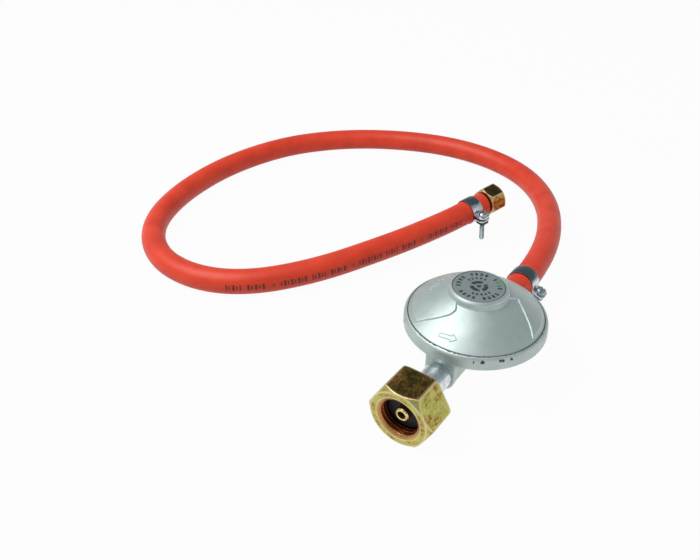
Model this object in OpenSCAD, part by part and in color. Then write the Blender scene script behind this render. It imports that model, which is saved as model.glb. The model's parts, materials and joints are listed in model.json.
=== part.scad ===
// Low-pressure gas regulator with its rubber hose. A union nut joins the regulator
// to a gas cylinder, and a swivel nut joins the hose to an appliance.
// Millimetres, +Z up. Gas flows along +X through the regulator, whose disc lies
// level above the flow axis, and the whole assembly rests on the plane z = 0.

/* [Union nut] */
// Size across the flats of the union nut
nut_af = 30; // [26:0.5:36]
// Length of the union nut
nut_len = 18.5; // [16:0.5:23]
// Radius inside the nut's thread, W21.8 x 1/14 left-hand
nut_thread_r = 9.75; // [8.2:0.05:11.7]
// Depth of the thread from the nut's mouth
nut_thread_depth = 12.5; // [10:0.5:14]
// Distance from the disc's axis to the nut's mouth
inlet_reach = 71.5; // [66:0.5:86]

/* [Inlet stem] */
// Radius of the stem between nut and housing
stem_r = 7.1; // [5.9:0.1:8.6]
// Thickness of the stem's collar, which holds the nut
collar_t = 2.8; // [2:0.1:3.4]
// Thickness of the rubber inlet seal
seal_t = 3; // [2:0.1:3.6]
// Radius of the inlet nozzle
nozzle_r = 3.5; // [2.9:0.1:4.2]
// Radius of the hole in the inlet nozzle
nozzle_hole_r = 2.1; // [1.5:0.1:2.5]
// How far the nozzle stands proud of the seal
nozzle_proud = 3.2; // [1:0.1:4]

/* [Disc housing] */
// Outer radius of the disc
disc_r = 36.2; // [30:0.1:44]
// Height of the disc's lower edge above the flow axis
rim_rise = 10; // [9:0.5:12]
// Height of the rolled rim
rim_h = 6.3; // [5.4:0.1:7.6]
// Wall of the rolled rim
rim_wall = 1.5; // [1.2:0.1:2]
// Width of the diaphragm's clamped edge
clamp_w = 3.7; // [3:0.1:4.5]
// Rise of the cover's cone from the rim to the hub
cover_rise = 11.7; // [10:0.1:16]
// Radius of the cover's hub
hub_r = 14.8; // [12.4:0.1:17.8]
// Height of the cover's hub above the cone
hub_h = 4; // [3.4:0.1:5]
// Wall of the cover's hub
hub_wall = 3.3; // [2.6:0.1:3.6]
// Half width of the valve housing under the disc
boss_r = 8.2; // [7.4:0.1:9.6]
// Height of the raised field on the cover
field_h = 0.55; // [0.3:0.05:1]

/* [Diaphragm] */
// Thickness of the rubber diaphragm
diaphragm_t = 1.2; // [0.8:0.1:1.3]
// Lift of the diaphragm from open to closed valve
diaphragm_lift = 2; // [1:0.1:2.4]
// Radius of the diaphragm's pressed steel plate
plate_r = 22; // [18:0.5:23]
// Radius of the stud through the diaphragm
stud_r = 2.5; // [2:0.1:3]

/* [Main spring] */
// Wire diameter of the main spring
wire_d = 1.4; // [1.1:0.1:1.6]
// Radius to the middle of the spring's wire
spring_r = 9; // [8.2:0.1:9.6]
// Number of turns of the main spring, with its closed end turns
spring_turns = 4.5; // [4:0.5:5]

/* [Valve and lever] */
// Lever arm from its pin to the diaphragm's stud
lever_arm = 18; // [16:0.5:20]
// Lever arm from its pin to the valve plunger
valve_arm = 4.5; // [3.6:0.1:5]
// Radius of the lever pin
pin_r = 1.5; // [1.2:0.05:1.8]
// Radius of the valve plunger
plunger_r = 4; // [3.4:0.1:4.4]
// Length of the valve plunger
plunger_len = 4.7; // [4:0.1:5.6]
// Radius of the hole in the valve seat
orifice_r = 1.2; // [0.8:0.1:1.6]

/* [Hose and barbs] */
// Outer diameter of the hose
hose_od = 15; // [14:0.5:19]
// Bore of the hose
hose_bore = 8; // [7:0.5:10]
// Height of the hose's axis at its far end
hose_end_z = 18; // [15:0.5:20]
// Length of each barb inside the hose
barb_len = 32; // [24:1:36]
// Wall of each barb
barb_wall = 1.3; // [1:0.1:1.8]

/* [Hose clamps] */
// Width of a clamp band
band_w = 8; // [6:0.5:10]
// Thickness of a clamp band
band_t = 0.8; // [0.6:0.1:1.2]
// Gap between the ears of a band
ear_gap = 1.6; // [1:0.1:3]
// Radius of the clamp screw, M3 at the pitch line
screw_r = 1.35; // [1.2:0.05:1.8]
// Diameter of the clamp screw's head
screw_head_d = 6; // [5.5:0.1:7.4]
// Height of the clamp screw's head
screw_head_h = 2.4; // [2.2:0.1:3.4]
// Side of the square clamp nut
square_nut = 5.5; // [5:0.1:7]
// Thickness of the square clamp nut
square_nut_t = 2.6; // [2:0.1:3.4]
// Tilt of the outlet clamp's ears below the horizontal
outlet_ear_tilt = 22; // [10:1:30]

/* [Swivel nut] */
// Size across the flats of the swivel nut
swivel_af = 17; // [16:0.5:20]
// Length of the swivel nut
swivel_len = 11.6; // [10:0.1:14]
// Radius inside the swivel nut's thread, G 1/4 left-hand
swivel_thread_r = 5.72; // [5.3:0.02:6.4]
// Turn of the swivel nut at rest
swivel_roll = 15; // [0:1:59]

/* [Hidden] */
$fn = 64;

// Clearances: parts that turn, parts that slip in a running fit, parts that are pressed in
loose = 0.3;
running = 0.08;
seated = 0.05;
// Overshoot of a cut past the faces that it opens
over = 1;

// Heights over the plane on which the nut and the hose lie
flow_z = nut_af / 2;
rim_z = flow_z + rim_rise;
rim_top = rim_z + rim_h;
clamp_edge = 0.9;
cover_z = rim_top - clamp_edge;
seat_z = cover_z - diaphragm_t;
hub_z = rim_top + cover_rise;
hub_top = hub_z + hub_h;
floor_z = flow_z + 6;
bowl_z = flow_z + 3.5;

// Radii of the housing, from the rim inwards
groove_r = disc_r - rim_wall;
chamber_r = groove_r - clamp_w;
lip_r = groove_r - 0.5;
cover_r = lip_r - loose;
floor_r = hub_r - 0.8;
screw_bore_r = hub_r - hub_wall;
label_r = hub_r - 1.8;
label_t = 1.2;

// Places along the flow axis, counted from the disc's axis
boss_front = 1.7 - disc_r;
boss_back = disc_r + 1.8;
nut_mouth = -inlet_reach;
nut_back = nut_mouth + nut_len;
nut_shoulder = nut_mouth + nut_thread_depth;
collar_back = nut_shoulder - loose;
collar_front = collar_back - collar_t;
seal_front = collar_front - seal_t;
nozzle_front = seal_front - nozzle_proud;
nozzle_back = collar_front + 4;
filter_back = nozzle_back + 8;
spigot_r = nozzle_r - 0.2;
hose_start = boss_back + 5;
barb_end = hose_start + barb_len;
// The regulator's own length is centred on the origin
disc_x = (inlet_reach - barb_end) / 2;

// Lever and valve
lever_x = -lever_arm;
pivot_z = flow_z - 3;
hub_lever_r = pin_r + 0.9;
nose_r = 1.2;
nose_back = hub_lever_r - 0.65;
plunger_back = lever_x - nose_back - nose_r - seated;
pad_front = plunger_back - plunger_len;
valve_gap = diaphragm_lift * valve_arm / lever_arm;
seat_nose = pad_front - valve_gap - seated;
seat_front = seat_nose - 0.8;
seat_back = seat_front - 1.9;
seat_r = 6;
pocket_front = plunger_back - 1;
pocket_back = 6;
pocket_r = boss_r - 2.2;
outlet_r = 4;
pad_r = plunger_r - 1;
pad_t = 1.5;

// Stud hook: the lever's tip lies in its window
hook_z = seat_z - 3.4;
hook_gap = 0.5;
tip_h = 2.6;
lever_w = 3;
stud_foot = seat_z - 6.2;
stud_top = cover_z + 5;

// Main spring, between the plate and the adjusting screw
plate_t = 1;
plate_top = cover_z + plate_t;
screw_bottom = hub_top - 6;
spring_low = plate_top + seated;
spring_high = screw_bottom - seated;

// Hose clamps: the screw stands clear of the band, and the ears end past it
screw_reach = hose_od / 2 + band_t + max(square_nut, screw_head_d) / 2 + 0.15;
ear_reach = screw_reach + 3.5;
ears_t = ear_gap + 2 * band_t;
outlet_band_x = barb_end - 15;
end_band_x = -11.5;
tip_drop = (flow_z - screw_reach * sin(outlet_ear_tilt) - screw_r * sin(outlet_ear_tilt))
           / cos(outlet_ear_tilt);

// Hose route on the plane: [x, y, share of the end's height], and [x, y] where it lies flat.
// The first point is the hose's end face on the regulator.
route_near = [[64, 0, 1], [86.5, 2, 0.97], [108, 6.5, 0.86], [128.5, 13.5, 0.68],
              [149, 23, 0.46], [168.5, 36, 0.25], [185.5, 52.5, 0.09]];
route_floor = [[197.5, 72], [203.5, 93.5], [205, 115.5], [202, 137.5], [195, 158.5],
               [185, 178.5], [172.5, 197], [157, 213.5], [139, 227.5], [119, 237.5],
               [97, 244], [74.5, 247.5], [51.5, 247.5], [29, 244.5], [8, 238.5],
               [-11.5, 228.5], [-28, 212.5], [-38.5, 191.5], [-40.5, 168.5], [-34.5, 147.5]];
route_far = [[-21.5, 130, 0], [-4, 115.5, 0.05], [15.5, 103, 0.14], [35.5, 92.5, 0.28],
             [55.5, 82.5, 0.43], [75.5, 73.5, 0.6], [97, 65.2, 0.79], [120.5, 57.8, 1]];
hose_sides = 12;
hose_r = hose_od / 2;
function near_z(share) = hose_r + share * (flow_z - hose_r);
function far_z(share) = hose_r + share * (hose_end_z - hose_r);
route = concat([[disc_x + hose_start, 0, flow_z]],
               [for (p = route_near) [p[0], p[1], near_z(p[2])]],
               [for (p = route_floor) [p[0], p[1], hose_r]],
               [for (p = route_far) [p[0], p[1], far_z(p[2])]]);
last = len(route) - 1;
end_at = route[last];
end_step = end_at - route[last - 1];
end_turn = atan2(end_step[1], end_step[0]);
end_tilt = asin(end_step[2] / norm(end_step));
// The end clamp's screw stands on the plane and carries the hose's end
end_clamp_z = end_at[2] + end_band_x * sin(end_tilt);
end_drop = (end_clamp_z - (screw_r - 0.5) * sin(end_tilt)) / cos(end_tilt);

// A smooth curve through the route: each point, and the middle of each step
function held(i) = route[min(max(i, 0), last)];
function middle(i) = (9 * (held(i) + held(i + 1)) - held(i - 1) - held(i + 2)) / 16;
function lifted(p) = [p[0], p[1], max(p[2], hose_r)];
spine = [for (i = [0 : 2 * last]) lifted(i % 2 == 0 ? route[i / 2] : middle((i - 1) / 2))];
rings = len(spine);
function unit(v) = v / norm(v);
function along(i) = unit(spine[min(i + 1, rings - 1)] - spine[max(i - 1, 0)]);
function side(i) = unit(cross([0, 0, 1], along(i)));
function ring(i, r) = [for (k = [0 : hose_sides - 1])
    let (a = 360 * k / hose_sides - 90)
    spine[i] + r * (cos(a) * side(i) + sin(a) * cross(along(i), side(i)))];

// ---- Frames and shared shapes ----

// A revolved profile of [radius, place along the flow] about the flow axis
module along_flow() {
    translate([disc_x, 0, flow_z]) rotate([0, 90, 0]) children();
}

// A revolved profile of [radius, height] about the disc's axis
module on_disc() {
    translate([disc_x, 0, 0]) children();
}

// Far end of the hose: +X points out of the hose, which rises a little, and +Y to its left
module at_hose_end() {
    translate(end_at) rotate([0, -end_tilt, end_turn]) children();
}

module turned(profile, fn = 64) {
    rotate_extrude($fn = fn) polygon(profile);
}

// Hexagon bar with both ends turned to a chamfer, standing on z = 0
module hex_blank(af, len, front_r, front_h, back_r, back_h) {
    corner = af / sqrt(3);
    intersection() {
        cylinder(h = len, r = corner, $fn = 6);
        turned([[0, 0], [front_r, 0], [corner + 0.1, front_h], [corner + 0.1, len - back_h],
                [back_r, len], [0, len]]);
    }
}

// Saw-tooth outline of a barb from its root to its tip, as [radius, place]
function barb_outline(root, tip, r, teeth, step) = [
    each [for (i = [0 : teeth - 1])
        let (x = root + i * step)
        each [[r, x], [r + 0.6, x], [r, x + step * 0.8]]],
    [r, tip - 2], [r - 0.7, tip]];

// Two triangles for a four-sided face of a polyhedron
function quad(a, b, c, d) = [[a, b, c], [a, c, d]];

// U-shaped section in the plane of width and height, on the flow axis
module u_section(r, top) {
    circle(r);
    translate([-r, 0]) square([2 * r, top]);
}

module u_bar(r, top, from, to) {
    translate([disc_x + from, 0, flow_z])
        rotate([90, 0, 90]) linear_extrude(to - from) u_section(r, top);
}

// ---- Housing ----

function rim_arc() = [for (a = [0 : 15 : 90])
    [lip_r + (disc_r - 0.2 - lip_r) * cos(a), rim_z + 3.3 + (rim_h - 3.3) * sin(a)]];

module lower_body() color("silver") {
    difference() {
        union() {
            on_disc() turned(concat(
                [[0, bowl_z], [floor_r, bowl_z], [chamber_r, rim_z - 0.8],
                 [chamber_r + 2.5, rim_z], [disc_r - 0.4, rim_z], [disc_r, rim_z + 0.4]],
                rim_arc(),
                [[lip_r, rim_top - 0.2], [groove_r, cover_z + 0.3], [groove_r, seat_z],
                 [0, seat_z]]), 96);
            u_bar(boss_r, rim_rise + 1, boss_front, chamber_r + 2);
            along_flow() translate([0, 0, chamber_r]) cylinder(h = boss_back - chamber_r, r = boss_r);
        }
        on_disc() turned([[0, floor_z], [floor_r, floor_z], [chamber_r, seat_z - 1.9],
                          [chamber_r, seat_z + over], [0, seat_z + over]], 96);
        u_bar(pocket_r, seat_z - flow_z - 1.5, pocket_front, pocket_back);
        // Inlet bore, valve chamber, guide of the plunger, outlet bore and its counterbore
        along_flow() translate([0, 0, boss_front - over])
            cylinder(h = seat_front - boss_front + over, r = seat_r);
        along_flow() translate([0, 0, seat_front - over])
            cylinder(h = pad_front + 0.2 - seat_front + over, r = plunger_r + 1);
        along_flow() translate([0, 0, pad_front - over])
            cylinder(h = pocket_front - pad_front + 2 * over, r = plunger_r + running);
        along_flow() translate([0, 0, pocket_back - over])
            cylinder(h = boss_back - pocket_back + 2 * over, r = outlet_r);
        along_flow() translate([0, 0, boss_back - 7.5])
            cylinder(h = 7.5 + over, r = seat_r);
        // The lever pin is put in from the +Y side and stops in the other wall
        translate([disc_x + lever_x, -pocket_r - 1.2, pivot_z]) rotate([-90, 0, 0])
            cylinder(h = pocket_r + boss_r + 1.2 + over, r = pin_r);
    }
}

// Outer line of the cover's cone, slightly bulged, as [radius, height] from hub to rim
cone_steps = 6;
function cone_point(s, up) = [hub_r + 0.4 + s * (cover_r - hub_r - 0.4),
                              hub_z - s * (hub_z - rim_top + 0.1) + 0.7 * sin(180 * s) + up];
function cone_line(up) = [for (i = [0 : cone_steps]) cone_point(i / cone_steps, up)];

// Outline of the raised field in plan: two long sides and an arc round the rim
field_in = hub_r + 0.1;
field_out = cover_r - 0.9;
module field_outline() {
    polygon(concat(
        [for (a = [196 : 6 : 280]) field_in * [cos(a), sin(a)]],
        [[5.3, -15.1], [8.7, -17], [8.6, -19.4], [5.2, -23.9], [1.3, -28.1]],
        [for (a = [264 : -6 : 144]) field_out * [cos(a), sin(a)]],
        [[-23.4, 13.1], [-20.7, 6.5], [-18.3, 3.7]]));
}

module raised_field() {
    intersection() {
        turned(concat([[hub_r - 1, hub_z - 3], [hub_r - 1, hub_z + field_h]],
                      cone_line(field_h), [[cover_r, rim_top - 0.8]]), 96);
        translate([0, 0, rim_top - 3]) linear_extrude(cover_rise + 6) field_outline();
    }
}

module cover() color("silver") on_disc() {
    difference() {
        union() {
            turned(concat(
                [[screw_bore_r, cover_z + 0.2], [screw_bore_r, hub_top], [hub_r - 0.8, hub_top],
                 [hub_r, hub_top - 1]],
                cone_line(0),
                [[cover_r, cover_z + seated]]), 96);
            raised_field();
        }
        // Spring chamber, bore of the adjusting screw, recess of the label cap, vent
        turned([[0, cover_z - over], [chamber_r, cover_z - over], [chamber_r, cover_z + 0.1],
                [screw_bore_r + 2, hub_z - 2], [0, hub_z - 2]], 96);
        cylinder(h = hub_top + over, r = screw_bore_r);
        translate([0, 0, hub_top - label_t]) cylinder(h = label_t + over, r = label_r + seated);
        rotate([0, 0, 40]) translate([(hub_r + cover_r) / 2, 0, rim_z])
            cylinder(h = cover_rise + rim_h, r = 0.8, $fn = 24);
    }
}

module label_cap() color("darkgray") on_disc() {
    translate([0, 0, hub_top - label_t + seated])
        turned([[0, 0], [label_r, 0], [label_r, label_t - 0.4], [label_r - 0.5, label_t - 0.1],
                [0, label_t - 0.1]]);
}

// Threaded plug that sets the spring, with a hexagon socket
module adjusting_screw() color("gainsboro") on_disc() {
    translate([0, 0, screw_bottom]) difference() {
        turned([[0, 0], [screw_bore_r - running - 0.5, 0], [screw_bore_r - running, 0.5],
                [screw_bore_r - running, 3.5], [screw_bore_r - running - 0.5, 4], [0, 4]]);
        translate([0, 0, 1.2]) cylinder(h = 4, r = 4.6, $fn = 6);
    }
}

// ---- Diaphragm and spring ----

wire_sides = 8;
wire_steps = 16;
spring_rings = spring_turns * wire_steps;
// The end turns lie on their neighbours, and the turns between share the rest of the height
end_pitch = wire_d + seated;
pitch = (spring_high - spring_low - wire_d - 2 * end_pitch) / (spring_turns - 2);
function climb(t) = end_pitch * (min(t, 1) + max(t - spring_turns + 1, 0))
                    + pitch * (min(max(t, 1), spring_turns - 1) - 1);
function wire_point(i, k) =
    let (t = i / wire_steps, a = 360 * k / wire_sides, r = wire_d / 2)
    [(spring_r + r * cos(a)) * cos(360 * t), (spring_r + r * cos(a)) * sin(360 * t),
     spring_low + wire_d / 2 + climb(t) + r * sin(a)];

function wire_at(i, k) = i * wire_sides + k % wire_sides;

module main_spring() color("dimgray") on_disc() {
    points = [for (i = [0 : spring_rings]) for (k = [0 : wire_sides - 1]) wire_point(i, k)];
    walls = [for (i = [0 : spring_rings - 1]) for (k = [0 : wire_sides - 1])
        each quad(wire_at(i, k), wire_at(i, k + 1), wire_at(i + 1, k + 1), wire_at(i + 1, k))];
    first = [for (k = [wire_sides - 1 : -1 : 0]) k];
    final = [for (k = [0 : wire_sides - 1]) wire_at(spring_rings, k)];
    polyhedron(points, concat(walls, [first, final]), convexity = 10);
}

// Rubber disc with one rolled fold between its plate and its clamped edge
fold_in = plate_r + 2;
fold_out = chamber_r - 1;
fold_h = 1.7;
function fold(up) = [for (s = [0 : 0.125 : 1])
    [fold_in + s * (fold_out - fold_in), seat_z + up + fold_h * sin(180 * s)]];
function backwards(list) = [for (i = [len(list) - 1 : -1 : 0]) list[i]];

module diaphragm() color("black") on_disc() {
    turned(concat([[stud_r + 0.1, seat_z]], fold(0),
                  [[groove_r - seated, seat_z], [groove_r - seated, cover_z]],
                  backwards(fold(diaphragm_t)), [[stud_r + 0.1, cover_z]]), 96);
}

// Pressed plate with a turned-up edge and a ring that centres the spring
module diaphragm_plate() color("lightsteelblue") on_disc() {
    ring_r = spring_r - wire_d / 2 - 0.9;
    turned([[stud_r + seated, cover_z], [plate_r, cover_z], [plate_r + 0.8, cover_z + 0.8],
            [plate_r + 0.8, plate_top + 1], [plate_r, plate_top + 1], [plate_r - 0.6, plate_top],
            [ring_r + 0.5, plate_top], [ring_r, plate_top + 1], [ring_r - 0.8, plate_top + 1],
            [ring_r - 1.2, plate_top], [stud_r + seated, plate_top]]);
}

// Stud with a flange under the rubber and a windowed hook for the lever's tip
module diaphragm_stud() color("goldenrod") on_disc() {
    difference() {
        union() {
            translate([0, 0, seat_z - 1.2]) cylinder(h = stud_top - seat_z + 1.2, r = stud_r);
            translate([0, 0, seat_z - 1.2]) cylinder(h = 1.2, r = 6);
            translate([-3, -3.6, stud_foot]) cube([6, 7.2, seat_z - 1.2 - stud_foot]);
        }
        translate([-3 - over, -lever_w / 2 - hook_gap, hook_z - tip_h / 2 - hook_gap])
            cube([6 + 2 * over, lever_w + 2 * hook_gap, tip_h + 2 * hook_gap]);
    }
}

module plate_nut() color("goldenrod") on_disc() {
    translate([0, 0, plate_top]) difference() {
        hex_blank(8, 3, 3.9, 0, 3.9, 0.5);
        translate([0, 0, -over]) cylinder(h = 3 + 2 * over, r = stud_r + seated);
    }
}

// ---- Lever and valve ----

// Bell crank: a nose pushes the plunger, a long arm ends in a rounded tip
module lever() color("lightsteelblue") translate([disc_x, 0, 0]) rotate([90, 0, 0]) {
    knee = [lever_x + 11, hook_z];
    tip = [0.9, hook_z];
    difference() {
        union() {
            translate([lever_x, pivot_z, -2.5]) cylinder(h = 5, r = hub_lever_r);
            translate([0, 0, -lever_w / 2]) linear_extrude(lever_w) {
                polygon([[lever_x - 1.4, pivot_z], [lever_x - nose_back, pivot_z + valve_arm],
                         [lever_x - nose_back + 1, pivot_z + valve_arm + 1.2],
                         [lever_x + 1.2, pivot_z + valve_arm],
                         [knee[0] - 1.2, knee[1] + tip_h / 2], [tip[0], tip[1] + tip_h / 2],
                         [tip[0], tip[1] - tip_h / 2], [knee[0] + 0.6, knee[1] - tip_h / 2],
                         [lever_x + hub_lever_r - 0.3, pivot_z]]);
                translate([lever_x - nose_back, pivot_z + valve_arm]) circle(nose_r);
                translate(tip) circle(tip_h / 2);
            }
        }
        translate([lever_x, pivot_z, -3]) cylinder(h = 6, r = pin_r + seated);
    }
}

module lever_pin() color("gray") {
    translate([disc_x + lever_x, -pocket_r - 1.1, pivot_z]) rotate([-90, 0, 0])
        cylinder(h = pocket_r + boss_r + 0.5, r = pin_r - 0.01);
}

// Brass orifice with a raised sealing nose
module valve_seat() color("goldenrod") along_flow() {
    turned([[orifice_r, seat_back], [seat_r - seated, seat_back], [seat_r - seated, seat_front],
            [orifice_r + 1.4, seat_front], [orifice_r + 0.7, seat_nose], [orifice_r, seat_nose]]);
}

// Plunger with two flats that let the gas pass
module valve_plunger() color("goldenrod") along_flow() {
    difference() {
        turned([[0, pad_front + pad_t], [pad_r + seated, pad_front + pad_t],
                [pad_r + seated, pad_front + 0.4], [plunger_r, pad_front + 0.4],
                [plunger_r, plunger_back], [0, plunger_back]]);
        for (s = [-1, 1]) translate([-5, s * (plunger_r + 1.2) - 2, pad_front - over])
            cube([10, 4, plunger_len + 2 * over]);
    }
}

module valve_pad() color("black") along_flow() {
    translate([0, 0, pad_front]) cylinder(h = pad_t - seated, r = pad_r);
}

// ---- Inlet ----

module inlet_stem() color("lightsteelblue") along_flow() {
    collar_r = nut_thread_r - 0.45;
    turned([[spigot_r + seated, collar_front], [collar_r, collar_front],
            [collar_r, collar_back], [stem_r, collar_back], [stem_r, boss_front - seated],
            [seat_r - seated, boss_front - seated], [seat_r - seated, seat_back - seated],
            [nozzle_r - 1, seat_back - seated], [nozzle_r - 1, filter_back],
            [spigot_r + seated, filter_back]]);
}

module union_nut() color("darkkhaki") along_flow() {
    hole_r = stem_r + loose;
    mouth_r = nut_thread_r + 2.25;
    translate([0, 0, nut_mouth]) difference() {
        rotate([0, 0, 30])
            hex_blank(nut_af, nut_len, nut_af / 2 - 0.2, 2.6, nut_af / sqrt(3) - 0.8, 0.8);
        turned([[0, -over], [mouth_r + over, -over], [nut_thread_r, 1.3],
                [nut_thread_r, nut_thread_depth], [hole_r, nut_thread_depth],
                [hole_r, nut_len + over], [0, nut_len + over]]);
    }
}

module inlet_seal() color("black") along_flow() {
    turned([[nozzle_r + seated, seal_front], [nut_thread_r - 0.9, seal_front],
            [nut_thread_r - 0.55, seal_front + 0.35], [nut_thread_r - 0.55, collar_front],
            [nozzle_r + seated, collar_front]]);
}

module inlet_nozzle() color("goldenrod") along_flow() {
    turned([[nozzle_hole_r, nozzle_front], [nozzle_r - 0.5, nozzle_front],
            [nozzle_r, nozzle_front + 0.5], [nozzle_r, seal_front - seated],
            [spigot_r, seal_front - seated], [spigot_r, nozzle_back],
            [nozzle_hole_r, nozzle_back]]);
}

// Sintered thimble behind the nozzle
module inlet_filter() color("peru") along_flow() {
    inner_r = spigot_r - 1;
    turned([[inner_r, nozzle_back + seated], [spigot_r, nozzle_back + seated],
            [spigot_r, filter_back - 1], [inner_r, filter_back - seated],
            [0, filter_back - seated], [0, filter_back - 1.2], [inner_r, filter_back - 1.2]]);
}

// ---- Hose and its ends ----

module outlet_barb() color("silver") along_flow() {
    r = hose_bore / 2;
    turned(concat(
        [[r - barb_wall, boss_back - 7], [seat_r - seated, boss_back - 7],
         [seat_r - seated, boss_back], [boss_r - 0.7, boss_back], [boss_r - 0.7, boss_back + 2],
         [boss_r - 1.2, boss_back + 2.5], [r, boss_back + 2.5]],
        barb_outline(hose_start + 3, barb_end, r, 4, 6),
        [[r - barb_wall, barb_end]]));
}

// Number of a point of the hose: wall 0 is outside and wall 1 the bore
function at(wall, i, k) = (wall * rings + i) * hose_sides + k % hose_sides;

module hose() color("orangered") {
    points = [for (r = [hose_r, hose_bore / 2]) for (i = [0 : rings - 1]) each ring(i, r)];
    walls = [for (i = [0 : rings - 2]) for (k = [0 : hose_sides - 1]) each concat(
        quad(at(0, i, k), at(0, i, k + 1), at(0, i + 1, k + 1), at(0, i + 1, k)),
        quad(at(1, i, k), at(1, i + 1, k), at(1, i + 1, k + 1), at(1, i, k + 1)))];
    ends = [for (k = [0 : hose_sides - 1]) each concat(
        quad(at(0, 0, k + 1), at(0, 0, k), at(1, 0, k), at(1, 0, k + 1)),
        quad(at(0, rings - 1, k), at(0, rings - 1, k + 1),
             at(1, rings - 1, k + 1), at(1, rings - 1, k)))];
    polyhedron(points, concat(walls, ends), convexity = 10);
}

// Clamp frame: X along the hose, ears along -Y, screw along Z. The child is placed there.
module at_outlet_clamp() {
    translate([disc_x + outlet_band_x, 0, flow_z]) rotate([outlet_ear_tilt, 0, 0]) children();
}

module at_end_clamp() {
    at_hose_end() translate([end_band_x, 0, 0]) children();
}

module ear_outline() {
    corner = 2;
    difference() {
        union() {
            translate([-band_w / 2, -ear_reach + corner])
                square([band_w, ear_reach - corner - hose_r - band_t / 2]);
            translate([-band_w / 2 + corner, -ear_reach]) square([band_w - 2 * corner, corner + 1]);
            for (s = [-1, 1]) translate([s * (band_w / 2 - corner), -ear_reach + corner])
                circle(corner);
        }
        translate([0, -screw_reach]) circle(screw_r + loose);
    }
}

module clamp_band() {
    difference() {
        translate([-band_w / 2, 0, 0]) rotate([0, 90, 0]) difference() {
            cylinder(h = band_w, r = hose_r + band_t, $fn = 96);
            translate([0, 0, -over]) cylinder(h = band_w + 2 * over, r = hose_r, $fn = 96);
        }
        translate([-band_w / 2 - over, -hose_r - 2, -ear_gap / 2])
            cube([band_w + 2 * over, 4, ear_gap]);
    }
    for (z = [-ear_gap / 2 - band_t, ear_gap / 2])
        translate([0, 0, z]) linear_extrude(band_t) ear_outline();
}

// Slotted screw through the ears, whose tip is drop below their middle
module clamp_screw(drop) {
    head_z = ears_t / 2 + seated;
    translate([0, -screw_reach, 0]) difference() {
        turned([[0, -drop], [screw_r - 0.5, -drop], [screw_r, -drop + 0.6], [screw_r, head_z],
                [screw_head_d / 2, head_z], [screw_head_d / 2, head_z + screw_head_h - 0.7],
                [screw_head_d / 2 - 1, head_z + screw_head_h], [0, head_z + screw_head_h]], 48);
        translate([-screw_head_d, -0.5, head_z + screw_head_h - 1.3])
            cube([2 * screw_head_d, 1, 2]);
    }
}

module clamp_nut(turn) {
    translate([0, -screw_reach, -ears_t / 2 - square_nut_t - seated]) difference() {
        rotate([0, 0, turn]) intersection() {
            translate([-square_nut / 2, -square_nut / 2, 0])
                cube([square_nut, square_nut, square_nut_t]);
            turned([[0, 0], [square_nut / 2 + 0.8, 0], [square_nut / 2 + 1.5, 0.5],
                    [square_nut / 2 + 1.5, square_nut_t], [0, square_nut_t]], 48);
        }
        translate([0, 0, -over]) cylinder(h = square_nut_t + 2 * over, r = screw_r + seated);
    }
}

module outlet_clamp_band() color("dimgray") at_outlet_clamp() clamp_band();
module outlet_clamp_screw() color("silver") at_outlet_clamp() clamp_screw(tip_drop);
module outlet_clamp_nut() color("silver") at_outlet_clamp() clamp_nut(0);
module end_clamp_band() color("dimgray") at_end_clamp() clamp_band();
module end_clamp_screw() color("silver") at_end_clamp() clamp_screw(end_drop);
module end_clamp_nut() color("silver") at_end_clamp() clamp_nut(0);

// Barbed tail with the coned head that the swivel nut draws up
nut_start = 1;
swivel_wall = 2.5;
head_front = nut_start + swivel_wall + loose;
head_len = 3;
module hose_tail() color("goldenrod") at_hose_end() rotate([0, 90, 0]) {
    r = hose_bore / 2;
    neck_r = swivel_thread_r - 1.1;
    head_r = swivel_thread_r - 0.3;
    root = -3;
    turned(concat(
        [[r - barb_wall, -barb_len]],
        backwards([for (p = barb_outline(0, barb_len + root, r, 4, 6)) [p[0], root - p[1]]]),
        [[neck_r, root], [neck_r, head_front], [head_r, head_front], [head_r, head_front + 1.4],
         [head_r - 1.9, head_front + head_len], [r - barb_wall, head_front + head_len]]));
}

module swivel_nut() color("darkkhaki") at_hose_end() rotate([0, 90, 0]) {
    thread_from = swivel_wall + loose + head_len;
    relief_r = swivel_thread_r + 0.6;
    translate([0, 0, nut_start]) difference() {
        rotate([0, 0, swivel_roll + 30])
            hex_blank(swivel_af, swivel_len, swivel_af / 2 - 0.1, 1.2,
                      swivel_af / 2 - 0.1, 1.2);
        turned([[0, -over], [swivel_thread_r - 0.8, -over], [swivel_thread_r - 0.8, swivel_wall],
                [relief_r, swivel_wall], [relief_r, thread_from], [swivel_thread_r, thread_from],
                [swivel_thread_r, swivel_len - 0.8], [swivel_thread_r + 1, swivel_len + 0.2],
                [swivel_thread_r + 1, swivel_len + over], [0, swivel_len + over]]);
    }
}

lower_body();
cover();
label_cap();
adjusting_screw();
main_spring();
diaphragm();
diaphragm_plate();
diaphragm_stud();
plate_nut();
lever();
lever_pin();
valve_seat();
valve_plunger();
valve_pad();
inlet_stem();
union_nut();
inlet_seal();
inlet_nozzle();
inlet_filter();
outlet_barb();
hose();
outlet_clamp_band();
outlet_clamp_screw();
outlet_clamp_nut();
end_clamp_band();
end_clamp_screw();
end_clamp_nut();
hose_tail();
swivel_nut();
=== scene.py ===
"""Low-pressure gas regulator with its rubber hose, laid out as a Blender add-on and run as a script."""
import json
import math

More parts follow.
